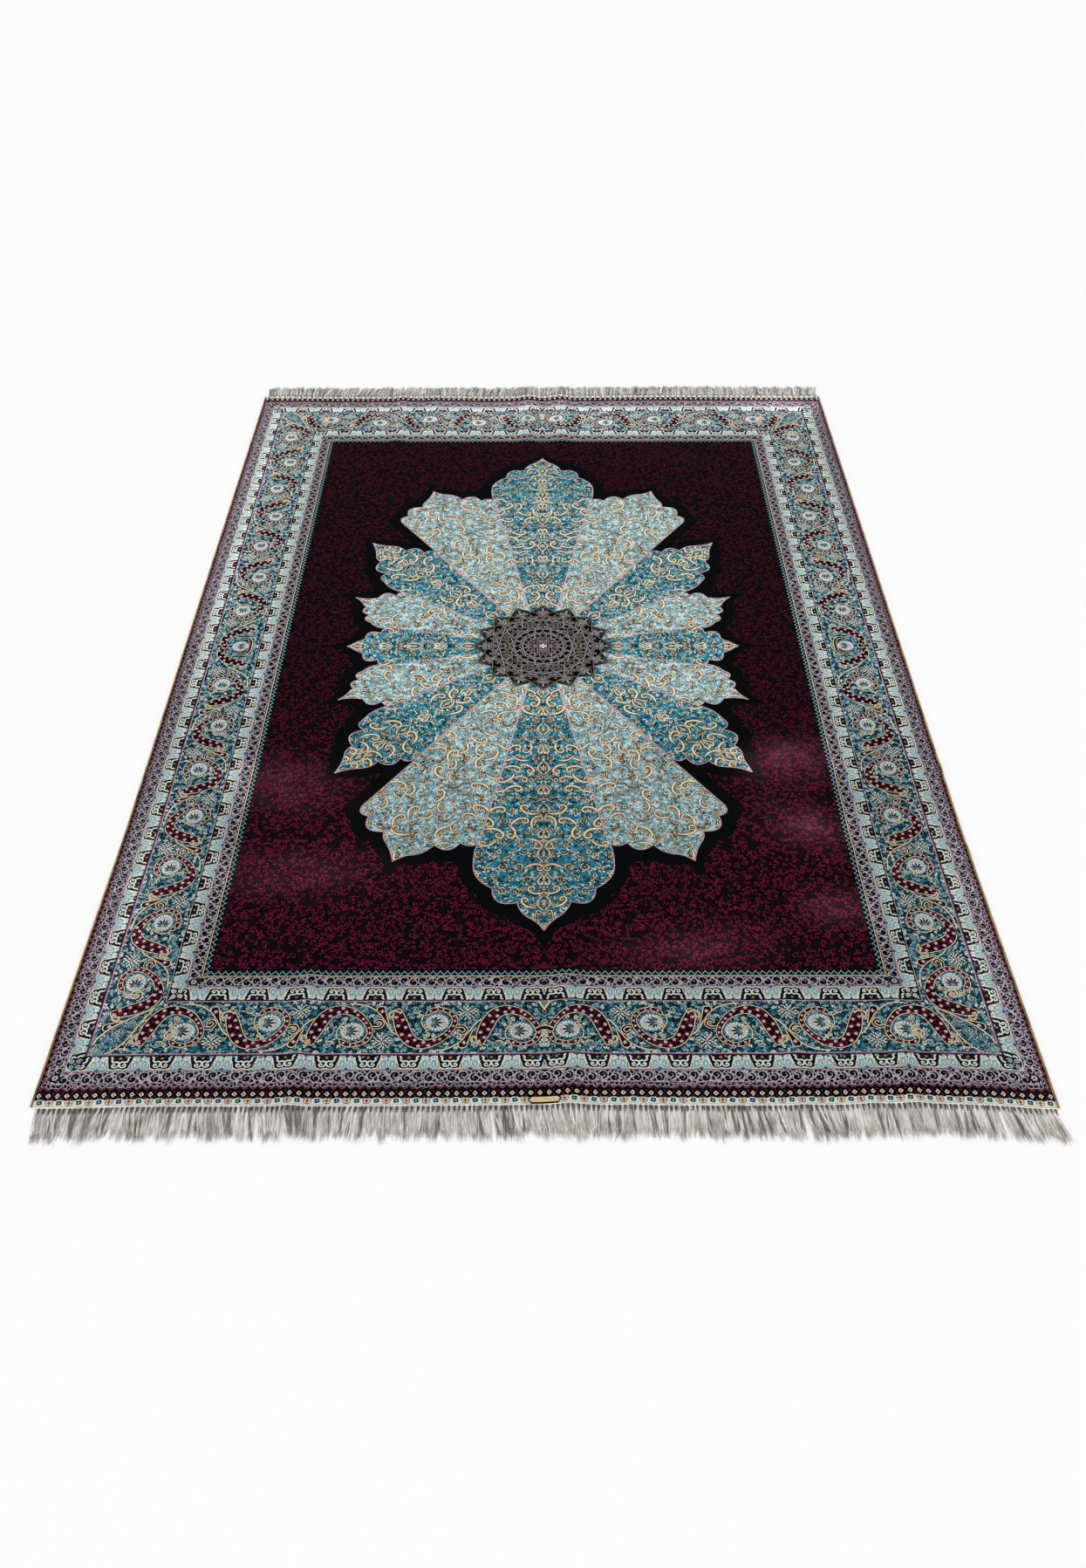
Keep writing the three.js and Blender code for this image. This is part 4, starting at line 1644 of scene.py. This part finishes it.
@dataclass(frozen=True)
class TwistedThread:
    """Plied silk or cotton thread: a soft fibre with no gloss, uneven along and between the threads."""

    name: str
    light: str
    dark: str
    ridge_mm: float
    roughness: float = 0.8
    sheen: float = 0.05
    stretch: float = 1.0
    tone_and_shadow: bool = False
    patch_mm: float = 41.67
    dark_below: float = 0.15
    light_above: float = 0.3
    relief_mm: float = 0.4
    relief: float = 0.6

    def make(self) -> bpy.types.Material:
        """Make the material.

        Returns:
            The material.
        """
        material, tree, shader = new_material(self.name)
        rug = add_node(tree, "TexCoord").outputs["Object"]
        run = add_node(tree, "Mapping", {0: rug, "Scale": (1.0, 1.0 / self.stretch, 1.0)})
        ply = add_node(tree, "TexNoise",
                       {"Vector": run, "Scale": 1.0 / (self.ridge_mm * MM), "Detail": 2.0})
        patch = add_node(tree, "TexNoise",
                         {"Vector": rug, "Scale": 1.0 / (self.patch_mm * MM), "Detail": 3.0})
        both = add_node(tree, "Math", {0: ply, 1: patch}, operation="MULTIPLY")
        colour = add_node(tree, "ValToRGB", {0: both})
        stops = ((self.dark_below, self.dark), (self.light_above, self.light))
        for stop, (position, code) in zip(colour.color_ramp.elements, stops):
            stop.position = position
            stop.color = linear(code)
        bump = add_node(tree, "Bump",
                        {"Height": ply, "Distance": self.relief_mm * MM, "Strength": self.relief})
        # Painted shade and shadow: the fringe's strands are darkened by their attribute
        if self.tone_and_shadow:
            tone_and_shade = add_node(tree, "Attribute", attribute_name="strand_tone_and_shadow").outputs["Fac"]
            colour = add_node(tree, "VectorMath", {0: colour, "Scale": tone_and_shade}, operation="SCALE")
        fill_inputs(tree, shader, {"Base Color": colour, "Normal": bump, "Roughness": self.roughness,
                                   "Sheen Weight": self.sheen})
        return material


# The rug's parts

@dataclass(frozen=True)
class PaintedLightPatch:
    """A patch of painted sheen, or of painted shade where its strength is below 0: its middle, half sizes,
    turn in degrees and strength.
    """

    x: float
    y: float
    across: float
    along: float
    turn: float
    amount: float


@dataclass
class Pile:
    """The knotted face of the rug, in five panels that join knot to knot: three of field, two of border."""

    thickness: float = SHEET_THICKNESS
    skirt_foot: float = 0.6
    skirt_margin: float = 0.3
    border_columns: int = 51
    border_rows: int = 39
    map_gap: float = 0.008
    map_strip: float = 0.31
    # Painted light: the patches of painted sheen and, where the strength is below 0, of painted shade
    painted_light_patches: tuple[PaintedLightPatch, ...] = (
        PaintedLightPatch(565, -440, 90, 60, 10, 1.4), PaintedLightPatch(580, -665, 80, 55, -20, 1.0), PaintedLightPatch(600, -900, 60, 40, 0, 1.0),
        PaintedLightPatch(-600, -520, 120, 70, -15, 0.8), PaintedLightPatch(-520, -800, 150, 60, 0, 0.6),
        PaintedLightPatch(300, -1010, 120, 50, 5, 0.6), PaintedLightPatch(-870, 350, 60, 420, 0, 0.3),
        PaintedLightPatch(-880, 1000, 90, 380, 0, 0.35), PaintedLightPatch(-840, -900, 70, 420, 0, 0.4),
        PaintedLightPatch(780, 1320, 160, 60, 0, 0.9), PaintedLightPatch(0, 1330, 900, 60, 0, 0.35),
        PaintedLightPatch(880, -1000, 60, 420, 0, 0.3), PaintedLightPatch(0, -1300, 900, 40, 0, 0.1), PaintedLightPatch(0, -700, 34, 300, 0, -0.25),
        PaintedLightPatch(0, 1230, 900, 110, 0, 0.35),
        PaintedLightPatch(-350, -375, 120, 80, -45, -0.16), PaintedLightPatch(350, -375, 120, 80, 45, -0.16),
        PaintedLightPatch(-780, -300, 90, 500, 0, -0.14), PaintedLightPatch(780, -300, 90, 500, 0, -0.14))

    def painted_light(self, x: np.ndarray, y: np.ndarray) -> np.ndarray:
        """Work out the painted sheen and shade at each place.

        Args:
            x: places across the rug, in millimetres.
            y: places along it.

        Returns:
            The painted sheen's strength at each place, which is below 0 where shade is painted.
        """
        total = np.zeros(np.broadcast(x, y).shape)
        for lean in self.painted_light_patches:
            turn = math.radians(lean.turn)
            u = ((x - lean.x) * math.cos(turn) + (y - lean.y) * math.sin(turn)) / lean.across
            v = ((y - lean.y) * math.cos(turn) - (x - lean.x) * math.sin(turn)) / lean.along
            total = total + lean.amount * np.exp(-(u * u + v * v))
        return total

    def packed(self, knots: np.ndarray) -> np.ndarray:
        """Pack each block of knots into eight numbers, one for each of its rows.

        Args:
            knots: the rug's chart.

        Returns:
            Rows, columns and eight numbers.
        """
        rows = knots.shape[0] // BLOCK_ROWS
        columns = knots.shape[1] // BLOCK_COLUMNS
        blocks = knots.reshape(rows, BLOCK_ROWS, columns, BLOCK_COLUMNS).astype(np.float64)
        weights = DYES ** np.arange(BLOCK_COLUMNS)
        return np.transpose((blocks * weights).sum(axis=3), (0, 2, 1)).astype(np.float32)

    def panels(self, rows: int, columns: int) -> dict[str, list[tuple]]:
        """Say which blocks make each panel, and how they fill its map.

        Args:
            rows: how many rows of blocks the rug has.
            columns: how many columns.

        Returns:
            For each panel its stretches: first and last row, first and last column, the map's left, right,
            bottom and top, and whether the stretch lies turned in the map.
        """
        side = self.border_columns
        end = self.border_rows
        inner = columns - 2 * side
        cuts = [side, side + inner // 3, side + 2 * inner // 3, columns - side]
        gap = self.map_gap
        strip = self.map_strip
        half = rows // 2
        panels = {}
        for name, first, last in zip(("left", "middle", "right"), cuts, cuts[1:]):
            panels[f"pile_field_{name}"] = [
                (end, half, first, last, gap, 0.5 - gap, gap, 1.0 - gap, False),
                (half, rows - end, first, last, 0.5 + gap, 1.0 - gap, gap, 1.0 - gap, False)]
        middle = columns // 2
        for name, outer, inner_ends in (("left", (0, side), (side, middle)),
                                        ("right", (columns - side, columns), (middle, columns - side))):
            panels[f"pile_border_{name}"] = [
                (0, half, *outer, gap, strip - gap, gap, 1.0 - gap, False),
                (half, rows, *outer, strip + gap, 2 * strip - gap, gap, 1.0 - gap, False),
                (0, end, *inner_ends, 2 * strip + gap, 1.0 - gap, gap, 0.5 - gap, True),
                (rows - end, rows, *inner_ends, 2 * strip + gap, 1.0 - gap, 0.5 + gap, 1.0 - gap, True)]
        return panels

    def build(self, knots: np.ndarray, material: bpy.types.Material) -> list[bpy.types.Object]:
        """Make the panels.

        Args:
            knots: the rug's chart.
            material: the pile's finish.

        Returns:
            The panels.
        """
        packed = self.packed(knots)
        rows, columns = packed.shape[:2]
        made = []
        for name, stretches in self.panels(rows, columns).items():
            piece = self.panel(name, stretches, packed)
            piece.data.materials.append(material)
            made.append(piece)
            LOG.info("%s: %d faces", name, len(piece.data.polygons))
        return made

    def panel(self, name: str, stretches: list[tuple], packed: np.ndarray) -> bpy.types.Object:
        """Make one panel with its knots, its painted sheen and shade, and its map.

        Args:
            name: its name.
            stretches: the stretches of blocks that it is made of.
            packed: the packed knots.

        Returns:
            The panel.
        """
        rows, columns = packed.shape[:2]
        across = np.linspace(-SHEET_HALF_WIDTH, SHEET_HALF_WIDTH, columns + 1)
        along = np.linspace(-SHEET_HALF_LENGTH, SHEET_HALF_LENGTH, rows + 1)
        corners, places, maps, blocks = [], [], [], []
        for r0, r1, c0, c1, left, right, low, high, turned in stretches:
            r, c = (grid.ravel() for grid in np.mgrid[r0:r1, c0:c1])
            ring = ((0, 0), (0, 1), (1, 1), (1, 0))
            corners.append(np.stack([(r + dr) * (columns + 1) + c + dc for dr, dc in ring], axis=1))
            places.append(np.broadcast_to([(dc * BLOCK_COLUMNS, dr * BLOCK_ROWS) for dr, dc in ring],
                                          (len(r), 4, 2)))
            blocks.append(packed[r, c])
            up = np.stack([(r + dr - r0) / (r1 - r0) for dr, dc in ring], axis=1)
            over = np.stack([(c + dc - c0) / (c1 - c0) for dr, dc in ring], axis=1)
            if turned:
                up, over = over, 1.0 - up
            maps.append(np.stack([left + over * (right - left), low + up * (high - low)], axis=2))
        corners, places, maps, blocks = (np.concatenate(part) for part in (corners, places, maps, blocks))
        pairs, *skirt = self.skirt(corners, places, maps, blocks, rows, columns)
        places, maps, blocks = (np.concatenate(both) for both in zip((places, maps, blocks), skirt))
        used, faces = np.unique(corners, return_inverse=True)
        edge = np.unique(pairs)
        x = across[used % (columns + 1)]
        y = along[used // (columns + 1)]
        lower = DRAPE.lay(across[edge % (columns + 1)], along[edge // (columns + 1)], self.skirt_foot)
        points = np.vstack([DRAPE.lay(x, y, self.thickness), lower])
        # Painted sheen and shade at each point, with none on the skirt
        painted_light = np.concatenate([self.painted_light(x, y), np.zeros(len(edge))])
        top = np.searchsorted(used, pairs)
        foot = np.searchsorted(edge, pairs) + len(used)
        hanging = np.stack([top[:, 0], foot[:, 0], foot[:, 1], top[:, 1]], axis=1)
        faces = np.vstack([faces.reshape(corners.shape), hanging])
        piece = make_piece(name, "rug_pile", points, faces)
        mesh = piece.data
        loops = np.concatenate([places.reshape(-1, 2), painted_light[faces.ravel()][:, None]], axis=1)
        mesh.attributes.new("knot_place_and_painted_light", "FLOAT_VECTOR", "CORNER").data.foreach_set("vector", loops.ravel())
        for half, label in enumerate(("knots_low", "knots_high")):
            attribute = mesh.attributes.new(label, "FLOAT_COLOR", "FACE")
            attribute.data.foreach_set("color", blocks[:, 4 * half:4 * half + 4].ravel())
        layer = mesh.uv_layers.new(name="OFBake")
        layer.data.foreach_set("uv", maps.reshape(-1, 2).astype(np.float32).ravel())
        return piece

    def skirt(self, corners: np.ndarray, places: np.ndarray, maps: np.ndarray, blocks: np.ndarray,
              rows: int, columns: int) -> list[np.ndarray]:
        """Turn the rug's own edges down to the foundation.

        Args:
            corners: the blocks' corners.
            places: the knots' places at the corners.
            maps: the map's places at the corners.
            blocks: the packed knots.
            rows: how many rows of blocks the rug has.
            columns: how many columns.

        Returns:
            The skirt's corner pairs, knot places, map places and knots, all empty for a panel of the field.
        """
        sides = []
        down = corners // (columns + 1)
        over = corners % (columns + 1)
        for a, b, at_edge in ((0, 1, down[:, 0] == 0), (1, 2, over[:, 1] == columns),
                              (2, 3, down[:, 2] == rows), (3, 0, over[:, 3] == 0)):
            own = [a, a, b, b]
            sides.append((corners[at_edge][:, [a, b]], places[at_edge][:, own], maps[at_edge][:, own],
                          blocks[at_edge]))
        joined = [np.concatenate(part) for part in zip(*sides)]
        inside = np.array([BLOCK_COLUMNS, BLOCK_ROWS])
        joined[1] = np.clip(joined[1].astype(float), self.skirt_margin, inside - self.skirt_margin)
        return joined


@dataclass
class Foundation:
    """The woven silk foundation under the pile: a thin closed cloth, whose back rests on the floor."""

    step: float = 14.0
    top: float = 3.0
    inset: float = 0.6

    def build(self) -> bpy.types.Object:
        """Make the cloth.

        Returns:
            The cloth.
        """
        half_x = SHEET_HALF_WIDTH - self.inset
        half_y = SHEET_HALF_LENGTH - self.inset
        xs = np.linspace(-half_x, half_x, int(2 * half_x / self.step))
        ys = np.linspace(-half_y, half_y, int(2 * half_y / self.step))
        x, y = np.meshgrid(xs, ys)
        columns = len(xs)
        rows = len(ys)
        points = np.vstack([DRAPE.lay(x, y, 0.0).reshape(-1, 3), DRAPE.lay(x, y, self.top).reshape(-1, 3)])
        layer = rows * columns
        r, c = (grid.ravel() for grid in np.mgrid[0:rows - 1, 0:columns - 1])
        a = r * columns + c
        under = np.stack([a, a + columns, a + columns + 1, a + 1], axis=1)
        over = np.stack([a, a + 1, a + columns + 1, a + columns], axis=1) + layer
        c = np.arange(columns - 1)
        r = np.arange(rows - 1) * columns
        last = (rows - 1) * columns
        near = np.stack([c, c + 1, c + 1 + layer, c + layer], axis=1)
        far = np.stack([last + c + 1, last + c, last + c + layer, last + c + 1 + layer], axis=1)
        left = np.stack([r + columns, r, r + layer, r + columns + layer], axis=1)
        right = np.stack([r, r + columns, r + columns + layer, r + layer], axis=1) + columns - 1
        piece = make_piece("rug_foundation", "rug_pile", points,
                           np.vstack([under, over, near, far, left, right]))
        piece.data.materials.append(TwistedThread("woven_silk_foundation", "#8d8378", "#5b5048", 1.4).make())
        return piece


@dataclass
class Selvedge:
    """The golden overcast cord that binds one long side: thread wound round and round the edge warps."""

    hand: int
    width: float = 5.0
    height: float = 4.6
    wrap_pitch: float = 2.6
    sides: int = 8
    groove: float = 0.42
    slant: float = 0.6
    floor_gap: float = 0.1
    trim: float = 0.05

    def build(self, material: bpy.types.Material) -> bpy.types.Object:
        """Make the cord.

        Args:
            material: its finish.

        Returns:
            The cord.
        """
        count = int(2 * SHEET_HALF_LENGTH / self.wrap_pitch) * 2
        along = np.linspace(-SHEET_HALF_LENGTH, SHEET_HALF_LENGTH, count + 1)
        angle = TURN * (np.arange(self.sides) + 0.5) / self.sides
        middle = self.hand * (HALF_WIDTH - self.width / 2)
        proud = np.where(np.arange(count + 1) % 2 == 0, 0.0, self.groove)[:, None]
        x = middle + np.cos(angle)[None, :] * (self.width / 2 - self.trim - 0.5 * proud)
        z = self.height / 2 + self.floor_gap + np.sin(angle)[None, :] * (self.height / 2 - self.trim - proud)
        slant = self.hand * self.slant * np.cos(angle)[None, :]
        y = np.clip(along[:, None] + slant, -SHEET_HALF_LENGTH, SHEET_HALF_LENGTH)
        points = DRAPE.lay(x, y, z).reshape(-1, 3)
        faces = []
        for k in range(count):
            for s in range(self.sides):
                here = k * self.sides
                after = (s + 1) % self.sides
                faces.append([here + s, here + after, here + self.sides + after, here + self.sides + s])
        ring = list(range(self.sides))
        faces.append(ring[::-1])
        faces.append([count * self.sides + s for s in ring])
        faces = [face[::-1] for face in faces]
        name = "selvedge_right" if self.hand > 0 else "selvedge_left"
        piece = make_piece("binding_" + name.split("_")[1], name, points, faces)
        piece.data.materials.append(material)
        return piece


@dataclass
class Fringe:
    """One end's warp fringe: a narrow heading, knotted tassels and the loose strands they open into.

    A tassel's strands lie in locks, each lock darker or lighter at random, and the darkest stand in for
    painted shade among the strands. Short dark strands at its knot stand in for the painted shadow in the
    gaps between tassels. The sizes are the radius at each ring of a strand, in threads.
    """

    end: int
    seed: int
    heading_width: float = 5.0
    heading_height: float = 2.6
    heading_overhang: float = 4.5
    heading_steps: int = 420
    weave: float = 0.12
    inset: float = 2.2
    floor_gap: float = 0.1
    pitch: float = 9.2
    stray: float = 0.8
    locks: int = 4
    lock_gap: float = 3.6
    lock_stray: float = 4.0
    strands: int = 6
    strand_stray: float = 2.6
    bundle_length: float = 13.0
    bundle_radius: float = 1.9
    length: float = 78.0
    lean: float = 13.0
    wave: float = 3.0
    sag: float = 0.55
    thread: float = 0.52
    steps: tuple[float, ...] = (0.0, 0.17, 0.4, 0.7)
    sizes: tuple[float, ...] = (1.25, 1.0, 1.0, 1.0)
    # Painted shade: each lock's colour factor, at random; the darkest stand in for shade among the strands
    tones_and_shade: tuple[float, ...] = (0.28, 0.72, 1.0, 1.0, 1.0)
    # Painted shadow: short dark strands between the tassels stand in for the shadow in the gaps there
    shadow_stubs: int = 4
    shadow_stub_lengths: tuple[float, float] = (10.0, 15.0)
    shadow_stub_places: tuple[float, float] = (1.3, 3.6)
    shadow_stub_sizes: tuple[float, ...] = (2.6, 2.2, 1.7, 1.1)
    painted_shadow_tone: float = 0.12

    def heading(self) -> tuple[np.ndarray, list]:
        """Make the narrow woven strip that the tassels hang from.

        Returns:
            Its points and faces.
        """
        half = SHEET_HALF_WIDTH + self.heading_overhang
        xs = np.linspace(-half, half, self.heading_steps)
        inner = HALF_WOVEN - self.heading_width
        outer = HALF_WOVEN - self.inset
        top = self.heading_height
        outline = ((inner, self.floor_gap), (inner, 0.8 * top), (inner + 1.0, top), (outer - 0.8, top),
                   (outer, 0.8 * top), (outer, self.floor_gap))
        count = len(outline)
        x = np.repeat(xs, count)
        y = self.end * np.tile([row[0] for row in outline], len(xs))
        lowered = self.weave * (np.repeat(np.arange(len(xs)), count) % 2)
        z = np.tile([row[1] for row in outline], len(xs)) - lowered
        points = DRAPE.lay(x, y, np.maximum(z, self.floor_gap))
        faces = []
        for k in range(len(xs) - 1):
            for s in range(count):
                a = k * count + s
                b = k * count + (s + 1) % count
                faces.append([a, b, b + count, a + count])
        faces.append(list(range(count))[::-1])
        faces.append([(len(xs) - 1) * count + s for s in range(count)])
        return points, faces

    def fibres(self) -> tuple[np.ndarray, list, np.ndarray]:
        """Make every tassel's strands.

        Returns:
            Their points and faces, and each face's colour factor, with its painted shade and shadow.
        """
        rng = np.random.default_rng(self.seed)
        tassels = int(2 * SHEET_HALF_WIDTH / self.pitch)
        first = -0.5 * (tassels - 1) * self.pitch
        points, faces, tones_and_shade = [], [], []
        for k in range(tassels):
            root = first + k * self.pitch + rng.uniform(-self.stray, self.stray)
            drift = math.sin(0.013 * root + self.seed) + 0.6 * math.sin(0.041 * root)
            lean = self.lean * (0.55 * drift + rng.uniform(-0.2, 1.0))
            reach = self.length * rng.uniform(0.84, 1.02)
            ways = [(lock - 0.5 * (self.locks - 1)) * self.lock_gap + rng.normal(0.0, self.lock_stray)
                    for lock in range(self.locks)]
            lock_tones_and_shade = rng.choice(self.tones_and_shade, self.locks)
            for strand in range(self.locks * self.strands + self.shadow_stubs):
                shadow_stub = strand >= self.locks * self.strands
                way = ways[strand % self.locks]
                # Painted shadow on the short dark strands, and a lock's colour factor, partly painted shade,
                # on the rest
                tone_and_shade = self.painted_shadow_tone if shadow_stub else lock_tones_and_shade[strand % self.locks] * rng.uniform(0.8, 1.0)
                tones_and_shade.append(tone_and_shade)
                length = rng.uniform(*self.shadow_stub_lengths) if shadow_stub else reach * rng.uniform(0.8, 1.05)
                aside = rng.uniform(*self.shadow_stub_places) if shadow_stub else rng.uniform(-1.0, 1.0)
                spread = way + self.strand_stray * rng.normal()
                wave = rng.uniform(-self.wave, self.wave)
                phase = rng.uniform(0.0, TURN)
                height = 0.4 + 0.8 * (strand % self.locks) + rng.uniform(0.0, 0.8)
                rings = []
                for step in self.steps:
                    out = step * length
                    loose = max(0.0, (out - 0.6 * self.bundle_length) / self.length)
                    x = root + aside * self.bundle_radius + (lean + spread) * loose ** 1.15
                    x += wave * loose * math.sin(5.0 * loose + phase)
                    z = self.thread + (height if step > 0.1 else 1.2) * (1.0 - self.sag * loose)
                    rings.append((x, HALF_WOVEN - self.inset - 0.4 + out, z))
                tip = (rings[-1][0] + (lean + spread) * 0.26 + 2.0 * math.sin(phase),
                       HALF_WOVEN - self.inset + length, self.thread * 0.6 + 0.35 * height)
                base = len(points)
                for n, (x, y, z) in enumerate(rings):
                    size = self.thread * (self.shadow_stub_sizes if shadow_stub else self.sizes)[n]
                    for s in range(3):
                        angle = TURN * s / 3 + phase
                        up = max(0.06, z + size * math.sin(angle))
                        points.append((x + size * math.cos(angle), self.end * y, up))
                points.append((tip[0], self.end * tip[1], tip[2]))
                for n in range(len(rings) - 1):
                    for s in range(3):
                        a = base + 3 * n + s
                        b = base + 3 * n + (s + 1) % 3
                        faces.append([a, b, b + 3, a + 3])
                end_ring = base + 3 * (len(rings) - 1)
                for s in range(3):
                    faces.append([end_ring + s, end_ring + (s + 1) % 3, base + 3 * len(rings)])
                faces.append([base + 2, base + 1, base])
        laid = DRAPE.lay(*np.array(points).T)
        return laid, faces, np.repeat(tones_and_shade, len(faces) // len(tones_and_shade))

    def build(self, material: bpy.types.Material) -> bpy.types.Object:
        """Join the heading and the strands into one piece.

        Args:
            material: its finish.

        Returns:
            The fringe.
        """
        points, faces = self.heading()
        more_points, more_faces, tones_and_shade = self.fibres()
        tones_and_shade = np.concatenate([np.ones(len(faces)), tones_and_shade])
        shift = len(points)
        if self.end > 0:
            faces = [face[::-1] for face in faces]
        else:
            more_faces = [face[::-1] for face in more_faces]
        faces = faces + [[index + shift for index in face] for face in more_faces]
        name = "fringe_far" if self.end > 0 else "fringe_near"
        piece = make_piece("warp_" + name, name, np.vstack([points, more_points]), faces)
        # Each face's colour factor, with the painted shade and shadow
        piece.data.attributes.new("strand_tone_and_shadow", "FLOAT", "FACE").data.foreach_set("value", tones_and_shade)
        piece.data.materials.append(material)
        return piece


@dataclass
class Studio:
    """The pale floor, the soft lights and the camera at the photograph's angle."""

    camera_aside: float = -0.0061
    camera_back: float = 2.8008
    camera_height: float = 2.078
    camera_turn: float = -0.1234
    pitch_down: float = 42.323
    lens: float = 31.185
    floor_half: float = 40.0
    floor_drop: float = 0.0008
    sky: float = 0.7
    key_place: tuple[float, float, float] = (-2.6, -1.6, 4.0)
    key_strength: float = 1.25
    key_width: float = 40.0

    def build(self) -> None:
        """Make the floor, the lights and the camera."""
        scene = bpy.context.scene
        scene.view_settings.view_transform = "Standard"
        bpy.ops.object.select_all(action="DESELECT")
        bpy.ops.mesh.primitive_plane_add(size=2 * self.floor_half, location=(0.0, 0.0, -self.floor_drop))
        floor = bpy.context.active_object
        floor.name = "studio_floor"
        material, tree, shader = new_material("matt_white_floor")
        fill_inputs(tree, shader, {"Base Color": linear("#fbfbfb"), "Roughness": 0.9})
        floor.data.materials.append(material)
        world = bpy.data.worlds.new("studio_world")
        scene.world = world
        world.use_nodes = True
        fill_inputs(world.node_tree, world.node_tree.nodes["Background"],
                    {"Color": linear("#ffffff"), "Strength": self.sky})
        self.key_light()
        data = bpy.data.cameras.new("photo_camera")
        data.lens = self.lens
        data.sensor_width = 36.0
        camera = bpy.data.objects.new("photo_camera", data)
        camera.location = (self.camera_aside, -self.camera_back, self.camera_height)
        camera.rotation_euler = (math.radians(90.0 - self.pitch_down), 0.0, math.radians(self.camera_turn))
        scene.collection.objects.link(camera)
        scene.camera = camera

    def key_light(self) -> None:
        """Set the broad soft light, which faces the rug's middle from far away."""
        data = bpy.data.lights.new("key_light", "SUN")
        data.angle = math.radians(self.key_width)
        data.energy = self.key_strength
        light = bpy.data.objects.new("key_light", data)
        light.location = self.key_place
        light.rotation_euler = (-Vector(self.key_place)).to_track_quat("-Z", "Y").to_euler()
        bpy.context.scene.collection.objects.link(light)


def main() -> None:
    """Build the rug part by part."""
    logging.basicConfig(level=logging.INFO, format="%(name)s: %(message)s")
    Studio().build()
    panels = Pile().build(Design().whole(), KnottedSilk().make())
    foundation = Foundation().build()
    LOG.info("foundation: %d faces", len(foundation.data.polygons))
    binding = TwistedThread("overcast_golden_silk", "#a9803a", "#4a3212", 1.1, 0.6, 0.1).make()
    edges = [Selvedge(hand).build(binding) for hand in (-1, 1)]
    warp = TwistedThread("unspun_cream_warp", "#fffdf6", "#cdc6b6", 1.5, 0.75, 0.05, 14.0, True).make()
    fringes = [Fringe(-1, 21).build(warp), Fringe(1, 22).build(warp)]
    for piece in edges + fringes:
        LOG.info("%s: %d faces", piece.name, len(piece.data.polygons))


if __name__ == "__main__":
    main()
